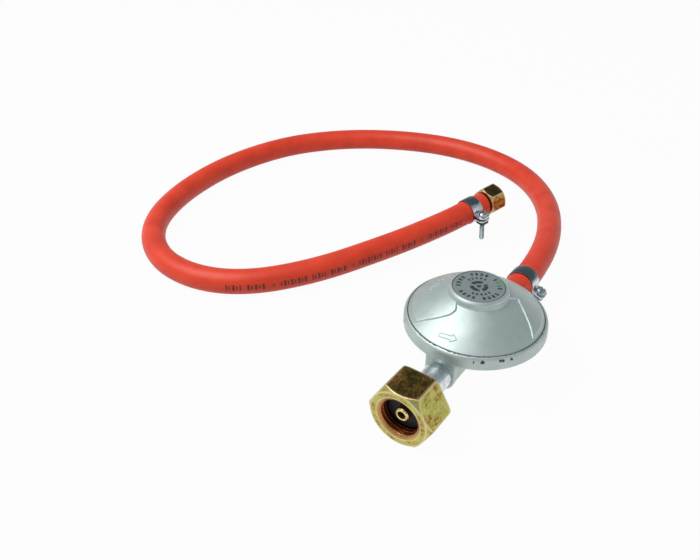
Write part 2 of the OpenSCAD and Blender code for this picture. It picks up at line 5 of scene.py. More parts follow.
import bmesh
import bpy
import numpy as np
from bpy.props import FloatProperty, FloatVectorProperty, PointerProperty
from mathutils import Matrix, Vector

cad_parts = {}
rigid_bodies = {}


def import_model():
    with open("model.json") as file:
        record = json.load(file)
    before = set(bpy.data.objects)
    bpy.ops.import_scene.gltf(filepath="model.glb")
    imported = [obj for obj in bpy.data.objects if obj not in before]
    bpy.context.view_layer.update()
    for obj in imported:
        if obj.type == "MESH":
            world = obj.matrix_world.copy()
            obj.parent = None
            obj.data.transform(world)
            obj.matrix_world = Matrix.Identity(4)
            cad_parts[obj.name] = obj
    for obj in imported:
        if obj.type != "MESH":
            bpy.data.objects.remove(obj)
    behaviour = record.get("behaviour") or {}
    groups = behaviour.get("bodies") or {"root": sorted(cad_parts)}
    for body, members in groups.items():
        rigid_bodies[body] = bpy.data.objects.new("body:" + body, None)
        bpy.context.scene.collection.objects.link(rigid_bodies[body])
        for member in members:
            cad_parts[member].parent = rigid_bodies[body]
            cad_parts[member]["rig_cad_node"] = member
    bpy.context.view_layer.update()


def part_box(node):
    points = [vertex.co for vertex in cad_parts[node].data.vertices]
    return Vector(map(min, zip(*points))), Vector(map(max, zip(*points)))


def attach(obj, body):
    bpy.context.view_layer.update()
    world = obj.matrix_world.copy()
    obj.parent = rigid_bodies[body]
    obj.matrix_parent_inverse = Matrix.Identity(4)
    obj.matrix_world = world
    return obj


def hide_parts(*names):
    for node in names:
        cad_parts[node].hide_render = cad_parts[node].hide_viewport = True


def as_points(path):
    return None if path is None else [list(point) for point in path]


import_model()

bl_info = {
    "name": "Gas regulator with hose",
    "version": (1, 0, 0),
    "blender": (4, 5, 0),
    "location": "View3D > Sidebar > Regulator",
    "description": "Builds the finished surfaces of a gas regulator with its hose round its packed frame",
    "category": "Add Mesh",
}

MM = 0.001
ONE_TURN = 2 * math.pi


# ---- Places and sizes taken from the frame ----

def corners_of(node):
    """Lowest and highest corner of a node at rest, as arrays."""
    return [np.array(corner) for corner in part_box(node)]


def unit(vectors):
    """The vectors divided by their own lengths."""
    return vectors / np.linalg.norm(vectors, axis=-1, keepdims=True)


NUT_LOW, NUT_HIGH = corners_of("union_nut")
COVER_LOW, COVER_HIGH = corners_of("cover")
BODY_LOW, BODY_HIGH = corners_of("lower_body")
LABEL_LOW, LABEL_HIGH = corners_of("label_cap")
NUT_FLATS = float(NUT_HIGH[2] - NUT_LOW[2])
NUT_LENGTH = float(NUT_HIGH[0] - NUT_LOW[0])
FLOW_Z = float(NUT_LOW[2] + NUT_HIGH[2]) / 2
DISC_X = float(COVER_LOW[0] + COVER_HIGH[0]) / 2
COVER_R = float(COVER_HIGH[0] - COVER_LOW[0]) / 2
COVER_TOP = float(COVER_HIGH[2])
DISC_R = float(BODY_HIGH[1] - BODY_LOW[1]) / 2
RIM_TOP = float(COVER_LOW[2]) + 0.85 * MM
LABEL_R = float(LABEL_HIGH[0] - LABEL_LOW[0]) / 2
# The cover's hub, its height where it leaves the cone, and the radius where the cone starts
HUB_R = COVER_R - 19.1 * MM
HUB_FOOT = COVER_TOP - 4 * MM
CONE_FOOT = HUB_R + 0.4 * MM

# Hose route in millimetres, [x, y, height]: the near part comes down from the outlet, the
# floor part lies flat, and the far part climbs to the height of its nut
HOSE_R = 7.5
NEAR_Z = 15.0
FAR_Z = 18.0
ROUTE_NEAR = [[64, 0, 1], [86.5, 2, 0.97], [108, 6.5, 0.86], [128.5, 13.5, 0.68],
              [149, 23, 0.46], [168.5, 36, 0.25], [185.5, 52.5, 0.09]]
ROUTE_FLOOR = [[197.5, 72], [203.5, 93.5], [205, 115.5], [202, 137.5], [195, 158.5],
               [185, 178.5], [172.5, 197], [157, 213.5], [139, 227.5], [119, 237.5],
               [97, 244], [74.5, 247.5], [51.5, 247.5], [29, 244.5], [8, 238.5],
               [-11.5, 228.5], [-28, 212.5], [-38.5, 191.5], [-40.5, 168.5], [-34.5, 147.5]]
ROUTE_FAR = [[-21.5, 130, 0], [-4, 115.5, 0.05], [15.5, 103, 0.14], [35.5, 92.5, 0.28],
             [55.5, 82.5, 0.43], [75.5, 73.5, 0.6], [97, 65.2, 0.79], [120.5, 57.8, 1]]
ROUTE = np.array(
    [[41.25, 0, NEAR_Z]]
    + [[x, y, HOSE_R + share * (NEAR_Z - HOSE_R)] for x, y, share in ROUTE_NEAR]
    + [[x, y, HOSE_R] for x, y in ROUTE_FLOOR]
    + [[x, y, HOSE_R + share * (FAR_Z - HOSE_R)] for x, y, share in ROUTE_FAR]) * MM
HOSE_START = ROUTE[0]
HOSE_END = ROUTE[-1]
# The far end's own axes: out of the hose, level to its left, and up
END_OUT = unit(HOSE_END - ROUTE[-2])
END_LEFT = np.array([-END_OUT[1], END_OUT[0], 0]) / math.hypot(END_OUT[0], END_OUT[1])
END_AXES = np.stack([END_OUT, END_LEFT, np.cross(END_OUT, END_LEFT)])
END_TURN = math.atan2(END_OUT[1], END_OUT[0])
END_TILT = math.asin(END_OUT[2])
# Middles of the clamp bands: outlet clamp along the flow, end clamp back from the far end
OUTLET_CLAMP_X = DISC_X + 60 * MM
END_CLAMP_BACK = 11.5 * MM
# The cord's own length in metres, the print's start and end along it, and the middle of the
# printed lane as a share of the way round
PRINT_FROM, PRINT_TO, PRINT_LANE = 0.6127, 0.766, 0.490


# ---- Settings that a user would change ----

def size_setting(name, about, default):
    """A length in metres."""
    return FloatProperty(name=name, description=about, default=default, unit="LENGTH")


def colour_setting(name, about, *default):
    """A colour as a screen shows it."""
    return FloatVectorProperty(name=name, description=about, default=default,
                               subtype="COLOR_GAMMA", size=3)


class HoseSettings(bpy.types.PropertyGroup):
    """Sizes and colours of the hose"""
    outer: size_setting("Outer radius", "Outer radius of the hose", HOSE_R * MM)
    bore: size_setting("Bore radius", "Radius of the hose's bore", 4 * MM)
    squeeze: size_setting("Squeeze", "How far a clamp band sinks into the rubber", 0.32 * MM)
    colour: colour_setting("Rubber colour", "Colour of the hose's cover", 0.94, 0.265, 0.125)
    print_colour: colour_setting("Print colour", "Colour of the strokes", 0.36, 0.07, 0.0)


class NutSettings(bpy.types.PropertyGroup):
    """Sizes and colours of the two threaded nuts"""
    edge: size_setting("Edge radius", "Rounding of the nuts' edges", 0.28 * MM)
    union_pitch: size_setting("Union pitch", "Pitch of the union nut's thread", 1.814 * MM)
    union_depth: size_setting("Union thread depth", "Depth of its grooves", 1.05 * MM)
    swivel_pitch: size_setting("Swivel pitch", "Pitch of the swivel nut's thread", 1.337 * MM)
    swivel_depth: size_setting("Swivel thread depth", "Depth of its grooves", 0.75 * MM)
    yellow: colour_setting("Yellow film", "Thin chromate film", 0.68, 0.68, 0.31)
    rose: colour_setting("Rose film", "Tint between yellow and olive", 0.66, 0.50, 0.29)
    olive: colour_setting("Olive film", "Thick chromate film", 0.40, 0.33, 0.12)


class HousingSettings(bpy.types.PropertyGroup):
    """Sizes and colours of the cast housing"""
    field_depth: size_setting("Field depth", "Depth of the cover's sunk field", 0.8 * MM)
    voxel: size_setting("Casting detail", "Mesh size that rounds the casting", 0.44 * MM)
    lacquer: colour_setting("Lacquer", "Silver-grey lacquer", 0.73, 0.78, 0.765)
    label: colour_setting("Label", "Grey of the label cap", 0.56, 0.61, 0.61)


class ClampSettings(bpy.types.PropertyGroup):
    """Sizes of the hose clamps"""
    width: size_setting("Band width", "Width of a clamp band", 8 * MM)
    thickness: size_setting("Band thickness", "Thickness of a clamp band", 0.8 * MM)
    gap: size_setting("Ear gap", "Gap between the ears", 1.6 * MM)
    reach: size_setting("Ear reach", "From the hose's axis to the ears' ends", 14.95 * MM)
    screw: size_setting("Screw reach", "From the hose's axis to the screw", 11.45 * MM)
    pitch: size_setting("Screw pitch", "Pitch of the M3 screws", 0.5 * MM)


class StageSettings(bpy.types.PropertyGroup):
    """Camera and light"""
    eye: FloatVectorProperty(name="Camera", description="Place of the camera",
                             default=(-0.2734, -0.1175, 0.2564), subtype="TRANSLATION", size=3)
    pitch: FloatProperty(name="Camera pitch", description="Tilt of the camera from straight down",
                         default=math.radians(54.57), subtype="ANGLE")
    heading: FloatProperty(name="Camera heading", description="Turn of the camera about Z",
                           default=math.radians(-54.3), subtype="ANGLE")
    lens: FloatProperty(name="Lens", description="Focal length in millimetres", default=37.56)
    sky: FloatProperty(name="Sky", description="Strength of the world's light", default=0.78)
    key: FloatProperty(name="Key lamp", description="Power of the key lamp in watts", default=8.6)
    fill: FloatProperty(name="Fill lamp", description="Power of the fill lamp in watts",
                        default=0.5)
    floor_size: size_setting("Floor", "Side of the floor", 3.0)
    floor_white: FloatProperty(name="Floor white", description="Share of plain white on the floor",
                               default=0.96)


SETTINGS = {"rg_hose": HoseSettings, "rg_nuts": NutSettings, "rg_housing": HousingSettings,
            "rg_clamps": ClampSettings, "rg_stage": StageSettings}


# ---- Materials ----

def linear(colour):
    """Colour as written, 0 to 1 as on a screen, turned to the linear values that sockets take."""
    c = np.array(colour, float)
    return (*np.where(c <= 0.04045, c / 12.92, ((c + 0.055) / 1.055) ** 2.4), 1.0)


class Flow:
    """A value on its way through a material. Arithmetic on it adds Math nodes."""

    def __init__(self, recipe, socket):
        self.recipe = recipe
        self.socket = socket

    def __add__(self, other):
        return self.recipe.math("ADD", self, other)

    def __sub__(self, other):
        return self.recipe.math("SUBTRACT", self, other)

    def __rsub__(self, other):
        return self.recipe.math("SUBTRACT", other, self)

    def __mul__(self, other):
        return self.recipe.math("MULTIPLY", self, other)

    def __truediv__(self, other):
        return self.recipe.math("DIVIDE", self, other)

    def __lt__(self, other):
        return self.recipe.math("LESS_THAN", self, other)

    def __gt__(self, other):
        return self.recipe.math("GREATER_THAN", self, other)

    __radd__ = __add__
    __rmul__ = __mul__


class Recipe:
    """One material: a Principled shader and the nodes that feed it."""

    def __init__(self, name, **constants):
        self.material = bpy.data.materials.new(name)
        self.material.use_nodes = True
        self.tree = self.material.node_tree
        self.tree.nodes.clear()
        self.shader = self.node("ShaderNodeBsdfPrincipled", out=None)
        self.surface = Flow(self, self.shader.outputs[0])
        self.end = self.node("ShaderNodeOutputMaterial", {}, {"Surface": self.surface}, None)
        self.feed(**constants)

    @classmethod
    def of_tree(cls, tree):
        """A recipe for nodes in an emptied tree that isn't a material's."""
        recipe = cls.__new__(cls)
        recipe.tree = tree
        tree.nodes.clear()
        return recipe

    def put(self, socket, value):
        """Links a Flow to the socket, or sets the socket to a plain value."""
        if isinstance(value, Flow):
            self.tree.links.new(value.socket, socket)
        else:
            socket.default_value = value

    def feed(self, **sockets):
        """Sets or links the shader's sockets. Base_Color stands for Base Color, and so on."""
        for name, value in sockets.items():
            self.put(self.shader.inputs[name.replace("_", " ")], value)

    def finished(self, colour, roughness, normal):
        """The material, once what varies over its surface feeds the shader."""
        self.feed(Base_Color=colour, Roughness=roughness, Normal=normal)
        return self.material

    def node(self, kind, settings=None, sockets=None, out=0):
        """A node of that kind, with its settings and then its sockets filled. Gives the value of
        its output, or the node itself where out is None."""
        made = self.tree.nodes.new(kind)
        for key, value in (settings or {}).items():
            if key == "stops":
                ramp = made.color_ramp
                while len(ramp.elements) < len(value):
                    ramp.elements.new(0.5)
                for element, (place, colour) in zip(ramp.elements, value):
                    element.position = place
                    element.color = colour
            else:
                setattr(made, key, value)
        for key, value in (sockets or {}).items():
            self.put(made.inputs[key], value)
        return made if out is None else Flow(self, made.outputs[out])

    def math(self, operation, first, second=0.0):
        """A number worked out from one or two others."""
        return self.node("ShaderNodeMath", {"operation": operation}, {0: first, 1: second})

    def place(self, out="Object"):
        """Where a point lies on its piece."""
        return self.node("ShaderNodeTexCoord", out=out)

    def mark(self, name):
        """A number that the mesh holds for each of its points."""
        return self.node("ShaderNodeAttribute", {"attribute_name": name}, out=2)

    def axes(self, vector):
        """The vector's three numbers."""
        split = self.node("ShaderNodeSeparateXYZ", {}, {0: vector}, None)
        return [Flow(self, output) for output in split.outputs]

    def flat_radius(self, x, y):
        """Distance from the place where x and y are 0."""
        return self.node("ShaderNodeVectorMath", {"operation": "LENGTH"},
                         {0: self.node("ShaderNodeCombineXYZ", {}, {0: x, 1: y})}, out=1)

    def moved(self, vector, centre=(0, 0, 0), turn=(0, 0, 0), scale=(1, 1, 1)):
        """The vector seen from centre, turned and scaled."""
        shifted = self.node("ShaderNodeVectorMath", {"operation": "SUBTRACT"},
                            {0: vector, 1: tuple(centre)})
        return self.node("ShaderNodeMapping", {"vector_type": "TEXTURE"},
                         {"Vector": shifted, "Rotation": turn,
                          "Scale": tuple(1 / s for s in scale)})

    def noise(self, vector, size, detail=3.0, rough=0.5):
        """Soft noise from 0 to 1, whose blotches measure about size metres."""
        return self.node("ShaderNodeTexNoise", {},
                         {"Vector": vector, "Scale": 1 / size, "Detail": detail, "Roughness": rough})

    def specks(self, vector, size):
        """Distance to the nearest of scattered points, about size metres apart."""
        return self.node("ShaderNodeTexVoronoi", {}, {"Vector": vector, "Scale": 1 / size})

    def step(self, value, low, high):
        """0 below low and 1 above high, with a soft rise between."""
        return self.node("ShaderNodeMapRange", {"interpolation_type": "SMOOTHSTEP"},
                         {"Value": value, "From Min": low, "From Max": high})

    def between(self, value, low, high, edge):
        """1 between low and high and 0 elsewhere, soft over edge to both sides of each."""
        return self.step(value, low - edge, low + edge) * (
            1 - self.step(value, high - edge, high + edge))

    def blend(self, mask, first, second):
        """The first colour where mask is 0, and the second where it is 1."""
        first, second = (colour if isinstance(colour, Flow) else linear(colour)
                         for colour in (first, second))
        return self.node("ShaderNodeMix", {"data_type": "RGBA"},
                         {0: mask, 6: first, 7: second}, out=2)

    def ramp(self, value, stops):
        """The colour that belongs to a value, blended between stops of a place and a colour."""
        stops = [(place, linear(colour)) for place, colour in stops]
        return self.node("ShaderNodeValToRGB", {"stops": stops}, {0: value})

    def bump(self, height, distance, strength, under=None):
        """A normal from a height of 0 to 1 that stands for distance metres, over another one."""
        sockets = {"Height": height, "Distance": distance, "Strength": strength}
        if under is not None:
            sockets["Normal"] = under
        return self.node("ShaderNodeBump", {}, sockets)


def lacquered_zinc(name, colour, chips=()):
    """Sprayed silver lacquer on a die casting: fine grain, soft blotches, painted shade in the
    groove along the seam between cover and rim, and chips given by their angle round the disc,
    height and width."""
    r = Recipe(name, Metallic=0.72, IOR=1.5)
    colour = np.array(colour)
    place = r.place()
    grain = r.noise(place, 0.35 * MM, 2.0)
    blotch = r.noise(place, 7 * MM, 4.0)
    base = r.blend(r.step(blotch, 0.3, 0.75), colour, colour * [0.93, 0.95, 0.95])
    base = r.blend(r.step(r.specks(place, 0.3 * MM), 0.25, 0.6) * 0.2, base, (0.90, 0.92, 0.90))
    base = r.blend(r.step(grain, 0.55, 0.8) * 0.3, base, colour * 0.82)
    x, y, z = r.axes(r.moved(place, centre=(DISC_X, 0, 0)))
    # Painted shade: a darker band along the groove between cover and rim, standing in for the shade that
    # falls there
    off = r.math("ABSOLUTE", r.flat_radius(x, y) - COVER_R - 0.1 * MM)
    seam_shade = (1 - r.step(off + blotch * (0.5 * MM), 0.25 * MM, 0.85 * MM)) * (z > RIM_TOP - 2 * MM)
    base = r.blend(seam_shade * 0.4, base, (0.22, 0.25, 0.25))
    if chips:
        angle = r.math("ARCTAN2", y, x)
        ragged = (r.noise(place, 0.7 * MM, 4.0, 0.6) - 0.5) * (2.4 * MM)

        def chip(degrees, height, width):
            """1 where the lacquer is gone, up to a ragged edge."""
            gap = r.flat_radius((angle - math.radians(degrees)) * DISC_R, z - height * MM)
            return 1 - r.step(gap + ragged, width * MM, (width + 0.3) * MM)

        bare = r.math("MINIMUM", sum(chip(*spot) for spot in chips), 1.0)
        base = r.blend(bare * 0.9, base, (0.13, 0.14, 0.14))
    relief = r.bump(grain, 0.05 * MM, 0.6)
    return r.finished(base, 0.38 + grain * 0.14 + blotch * 0.06 + seam_shade * 0.2,
                      r.bump(blotch, 0.25 * MM, 0.25, relief))


def printed_label(colour):
    """Grey disc with broken rings of plain upright marks round a split ring and a dot."""
    r = Recipe("label print", Metallic=0.15)
    colour = np.array(colour)
    place = r.place()
    x, y, _ = r.axes(r.moved(place, centre=(DISC_X, 0, 0)))
    radius = r.flat_radius(x, y)
    angle = r.math("ARCTAN2", y, x)

    def ring(low, high):
        """1 between two radii in mm."""
        return r.between(radius, low * MM, high * MM, 0.1 * MM)

    def spokes(count, low, high, phase=0.0):
        """1 between the shares low and high of each of count equal sectors."""
        share = r.math("FRACT", angle * (count / ONE_TURN) + phase)
        return r.between(share, low, high, 0.03)

    outer = ring(9.0, 11.2) * spokes(25, 0.11, 0.65) * spokes(5, 0.13, 0.87, 0.15)
    inner = ring(6.0, 7.6) * spokes(20, 0.11, 0.65, 0.3) * spokes(2, 0.31, 0.77, 0.33)
    sign = ring(2.3, 4.5) * spokes(3, 0.09, 0.89, 0.12)
    dot = 1 - r.step(radius, 1.1 * MM, 1.3 * MM)
    worn = r.noise(place, 1.1 * MM, 4.0)
    ink = r.math("MINIMUM", outer + inner + sign + dot, 1.0) * (
        0.70 + 0.30 * r.step(worn, 0.38, 0.6))
    base = r.blend(r.step(r.noise(place, 0.7 * MM, 4.0), 0.35, 0.65), colour, colour * 0.88)
    # Painted shade along the gap where the disc meets the cover, and a dab of green paint that seals the
    # setting
    rim = r.step(radius, LABEL_R - 0.55 * MM, LABEL_R - 0.2 * MM)
    base = r.blend(rim * 0.6, base, (0.24, 0.28, 0.27))
    base = r.blend(ink * 0.97, base, (0.03, 0.05, 0.05))
    x, y, _ = r.axes(r.moved(place, centre=(DISC_X + 7.6 * MM, -7.4 * MM, 0)))
    dab = r.flat_radius(x, y * 0.75) + r.noise(place, 1.2 * MM) * (1.2 * MM)
    base = r.blend((1 - r.step(dab, 2.0 * MM, 2.7 * MM)) * 0.7, base, (0.42, 0.64, 0.50))
    return r.finished(base, 0.46 + worn * 0.12 - ink * 0.08,
                      r.bump(r.noise(place, 0.25 * MM), 0.02 * MM, 0.4))


def chromated_steel(name, settings, mouth, turn, inward, mouth_r, thick, spread):
    """Yellow passivated zinc. The film's colour follows its thickness, from yellow through rose
    to olive, cloudy everywhere. The flat that faces up is pushed towards dark olive as a painted
    dark reflection, and the edges are rubbed pale, partly wear and partly a painted edge
    highlight. Within mouth_r of the axis it is gold, and the thread turns coppery and then dark
    with the depth behind the mouth, the dark being painted shade inside the bore."""
    r = Recipe(name, Metallic=0.9)
    olive, yellow = np.array(settings.olive), np.array(settings.yellow)
    place = r.place()
    along, y, z = r.axes(r.moved(place, centre=mouth, turn=turn))
    top = r.axes(r.place("Normal"))[2]
    cloud = r.noise(place, 4.6 * MM * spread, 4.0, 0.6)
    streak = r.noise(r.moved(place, turn=(0.5, 0.3, 0.2), scale=(1, 2.6, 1)), 2.2 * MM * spread,
                     5.0, 0.65)
    # The term from the up-facing normal is a painted dark reflection on the top flat; the cloud, streak
    # and thickness terms are the film's own
    film = (r.step(top, 0.6, 0.95) * 0.52 + r.step(cloud, 0.32, 0.68) * 0.42
            + r.step(streak, 0.35, 0.65) * 0.30 + (thick - 0.36))
    base = r.ramp(film, [
        (0.05, yellow * [1.10, 1.08, 1.40]), (0.28, yellow), (0.46, settings.rose),
        (0.56, olive * [1.35, 0.95, 1.0]), (0.68, olive * 1.1), (0.92, olive * 0.62)])
    worn = r.mark("worn")
    # Rubbed pale edges: partly wear, partly a painted edge highlight
    rubbed = r.step(worn, 0.1, 0.8) * r.step(streak + worn * 0.25, 0.42, 0.6)
    base = r.blend(rubbed * 0.65, base, (0.93, 0.83, 0.66))
    # Colour inside the mouth: gold, then coppery thread, then painted shade that darkens with depth
    # behind the mouth
    wall = r.ramp(along * inward / (12 * MM) + streak * 0.16 - 0.06, [
        (0.0, (0.84, 0.72, 0.42)), (0.10, (0.70, 0.50, 0.30)), (0.22, (0.60, 0.34, 0.18)),
        (0.42, (0.36, 0.16, 0.08)), (0.64, (0.06, 0.03, 0.02))])
    inside = 1 - r.step(r.flat_radius(y, z), mouth_r - 0.25 * MM, mouth_r + 0.1 * MM)
    base = r.blend(inside, base, wall)
    grit = r.noise(place, 0.28 * MM, 2.0)
    base = r.blend(r.step(grit, 0.6, 0.75) * 0.25, base, olive * 0.7)
    lathe = r.noise(r.moved(place, scale=(40, 1, 1)), 3 * MM, 2.0)
    return r.finished(base, 0.25 + cloud * 0.16 + grit * 0.08,
                      r.bump(grit, 0.03 * MM, 0.35, r.bump(lathe, 0.03 * MM, 0.3)))


def bright_zinc(name, tint, axis="x"):
    """Bright zinc plating over turned or cut steel: fine tool marks round the axis, light bloom."""
    r = Recipe(name, Metallic=1.0)
    tint = np.array(tint)
    place = r.place()
    scale = {"x": (30, 1, 1), "z": (1, 1, 30)}[axis]
    tool = r.noise(r.moved(place, scale=scale), 2.4 * MM)
    bloom = r.noise(place, 3.5 * MM, 4.0)
    pit = r.step(r.noise(place, 0.3 * MM, 2.0), 0.62, 0.72)
    base = r.blend(r.step(bloom, 0.35, 0.7), tint, tint * 0.86)
    base = r.blend(pit * 0.3, base, tint * 0.6)
    return r.finished(base, 0.17 + bloom * 0.16 + pit * 0.1, r.bump(tool, 0.035 * MM, 0.5))


def band_steel(name):
    """Rolled steel strip: lengthwise rolling marks, a painted dark reflection over the loop where
    the mesh is marked for it, bare zinc elsewhere, and edges rubbed bright."""
    r = Recipe(name, Metallic=1.0)
    place = r.place()
    roll = r.noise(r.moved(place, scale=(18, 1, 1)), 4 * MM, 4.0)
    cloud = r.noise(place, 3 * MM)
    # Painted dark reflection over the loop away from the ears, standing in for the dark surroundings it
    # would mirror
    blued = r.step(r.mark("blued") + (cloud - 0.5) * 0.8, 0.3, 0.8)
    base = r.blend(r.step(cloud, 0.35, 0.65), (0.76, 0.80, 0.82), (0.88, 0.91, 0.92))
    base = r.blend(blued * 0.92, base, (0.27, 0.35, 0.37))
    base = r.blend(r.step(roll, 0.5, 0.75) * 0.4, base, (0.34, 0.39, 0.40))
    base = r.blend(r.step(r.mark("worn"), 0.3, 0.9) * 0.5, base, (0.85, 0.87, 0.88))
    return r.finished(base, 0.22 + cloud * 0.12, r.bump(roll, 0.03 * MM, 0.4))


def hose_cover(settings):
    """Smooth extruded rubber: drawn streaks along the hose, a bloom of dust, faint rubbing marks,
    and a broken line of plain strokes along part of it. It reads the hose's own map, whose first
    number runs along it in metres and whose second goes round it."""
    r = Recipe("hose rubber cover")
    colour = np.array(settings.colour)
    along, around, _ = r.axes(r.node("ShaderNodeUVMap", {"uv_map": "along"}))
    place = r.place()
    drawn = r.node("ShaderNodeCombineXYZ", {}, {0: along * 12, 1: around * 3.2})
    streak = r.noise(drawn, 0.05, 4.0, 0.6)
    bloom = r.noise(place, 14 * MM, 5.0, 0.6)
    rub = r.step(r.noise(r.moved(place, scale=(1, 1, 2)), 5 * MM, 6.0, 0.7), 0.60, 0.72)
    base = r.blend(r.step(bloom, 0.3, 0.75), colour, colour * [0.92, 0.80, 0.76])
    base = r.blend(r.step(streak, 0.45, 0.75) * 0.35, base,
                   np.minimum(colour * [1.0, 1.16, 1.22], 1))
    base = r.blend(rub * 0.14, base, (0.93, 0.42, 0.32))
    printed = along - PRINT_FROM
    off = r.math("ABSOLUTE", around - PRINT_LANE)

    def part(of, low, high):
        """1 between the shares low and high of each stretch of that length in mm."""
        return r.between(r.math("FRACT", printed / (of * MM)), low, high, 0.16 / of)

    # Groups of upright strokes, a wide tall one beside a narrow low one
    groups = (part(48, 0.02, 0.19) + part(48, 0.25, 0.47) + part(48, 0.535, 0.565)
              + part(48, 0.62, 0.97))
    strokes = (part(4, 0.08, 0.46) * (1 - r.step(off, 0.037, 0.045))
               + part(4, 0.62, 0.86) * (1 - r.step(off, 0.025, 0.033)))
    stretch = (along > PRINT_FROM) * (along < PRINT_TO)
    faded = (1 - printed) * (0.72 + 0.28 * r.step(r.noise(place, 0.8 * MM, 4.0), 0.34, 0.5))
    base = r.blend(groups * strokes * stretch * faded, base, settings.print_colour)
    relief = r.bump(r.noise(place, 0.5 * MM), 0.025 * MM, 0.5)
    return r.finished(base, 0.40 + bloom * 0.12 + rub * 0.1,
                      r.bump(streak, 0.06 * MM, 0.5, relief))


def moulded_rubber(name, dusty=0.5, colour=(0.085, 0.085, 0.10)):
    """Black nitrile rubber with a dusty bloom."""
    r = Recipe(name)
    place = r.place()
    dust = r.noise(place, 2 * MM, 4.0)
    base = r.blend(r.step(dust, 0.45, 0.75) * dusty, colour, (0.20, 0.20, 0.21))
    return r.finished(base, 0.5 + dust * 0.2, r.bump(r.noise(place, 0.4 * MM), 0.03 * MM, 0.5))


def turned_brass(name, tint=(0.88, 0.74, 0.46)):
    """Turned brass with lathe rings round the flow axis and a slight tarnish."""
    r = Recipe(name, Metallic=1.0)
    place = r.place()
    tarnish = r.noise(place, 3 * MM, 4.0)
    rings = r.noise(r.moved(place, scale=(25, 1, 1)), 2 * MM, 2.0)
    base = r.blend(r.step(tarnish, 0.35, 0.7), tint, np.array(tint) * [0.82, 0.76, 0.66])
    return r.finished(base, 0.2 + tarnish * 0.18, r.bump(rings, 0.03 * MM, 0.5))


def sintered_bronze():
    """Pressed bronze grains, rough and porous."""
    r = Recipe("sintered bronze", Metallic=0.9)
    grains = r.specks(r.place(), 0.35 * MM)
    base = r.blend(r.step(grains, 0.2, 0.7), (0.72, 0.54, 0.32), (0.36, 0.25, 0.14))
    return r.finished(base, 0.5 + grains * 0.3, r.bump(1 - grains, 0.12 * MM, 0.9))


def oiled_spring():
    """Dark drawn wire with an oil film."""
    r = Recipe("oiled spring wire", Metallic=1.0)
    place = r.place()
    oil = r.noise(place, 3 * MM, 4.0)
    base = r.blend(r.step(oil, 0.35, 0.7), (0.40, 0.40, 0.41), (0.27, 0.26, 0.25))
    return r.finished(base, 0.22 + oil * 0.2, r.bump(r.noise(place, 0.3 * MM), 0.02 * MM, 0.4))


# ---- Surfaces ----

def soften(corners, radii, steps=4):
    """Rounds a closed chain of profile corners, each an array of [..., 2] points. A corner with a
    radius becomes a parabola that leaves one side that far before it and joins the next that far
    after it, between two holding points that keep the sides flat. Radius 0 keeps the corner."""
    def beside(corner, others, reach, most):
        """The points that far from the corner towards each other, at most a share of the way."""
        for other in others:
            length = np.linalg.norm(other - corner, axis=-1, keepdims=True)
            yield corner + (other - corner) / np.maximum(length, 1e-9) * np.minimum(
                reach, most * length)

    rows = []
    for i, radius in enumerate(radii):
        corner, others = corners[i], (corners[i - 1], corners[(i + 1) % len(corners)])
        if radius == 0:
            rows.append(corner)
            continue
        start, end = beside(corner, others, radius, 0.36)
        hold, keep = beside(corner, others, 1.7 * radius, 0.45)
        bend = [(1 - t) ** 2 * start + 2 * t * (1 - t) * corner + t ** 2 * end
                for t in np.linspace(0, 1, steps)]
        rows += [hold, *bend, keep]
    return np.stack(rows)


def rounded_hexagon(flats, rounding, first_corner, per_side=9, per_corner=5):
    """Angle and radius of a hexagon's outline: six arcs of the rounding's radius, each centred on
    the line to its corner and turning by 60 degrees, joined by straight sides."""
    centre = (flats / 2 - rounding) / math.cos(math.pi / 6)
    corner = first_corner + np.arange(6)[:, None] * math.pi / 3
    arc = np.linspace(-math.pi / 6, math.pi / 6, per_corner)[None, :]
    bend = np.stack([centre * np.cos(corner) + rounding * np.cos(corner + arc),
                     centre * np.sin(corner) + rounding * np.sin(corner + arc)], -1)
    share = np.concatenate([[0.015], np.linspace(0.06, 0.94, per_side), [0.985]])[None, :, None]
    side = bend[:, -1:, :] * (1 - share) + np.roll(bend, -1, 0)[:, :1, :] * share
    outline = np.concatenate([bend, side], 1).reshape(-1, 2)
    return np.unwrap(np.arctan2(outline[:, 1], outline[:, 0])), np.hypot(*outline.T)


def volume(points, quads):
    """Signed volume inside closed faces: a sum of tetrahedra from the origin."""
    a, b, c, d = (points[quads[:, i]] for i in range(4))
    return float(np.einsum("ij,ij->i", a, np.cross(b, c) + np.cross(c, d)).sum() / 6)


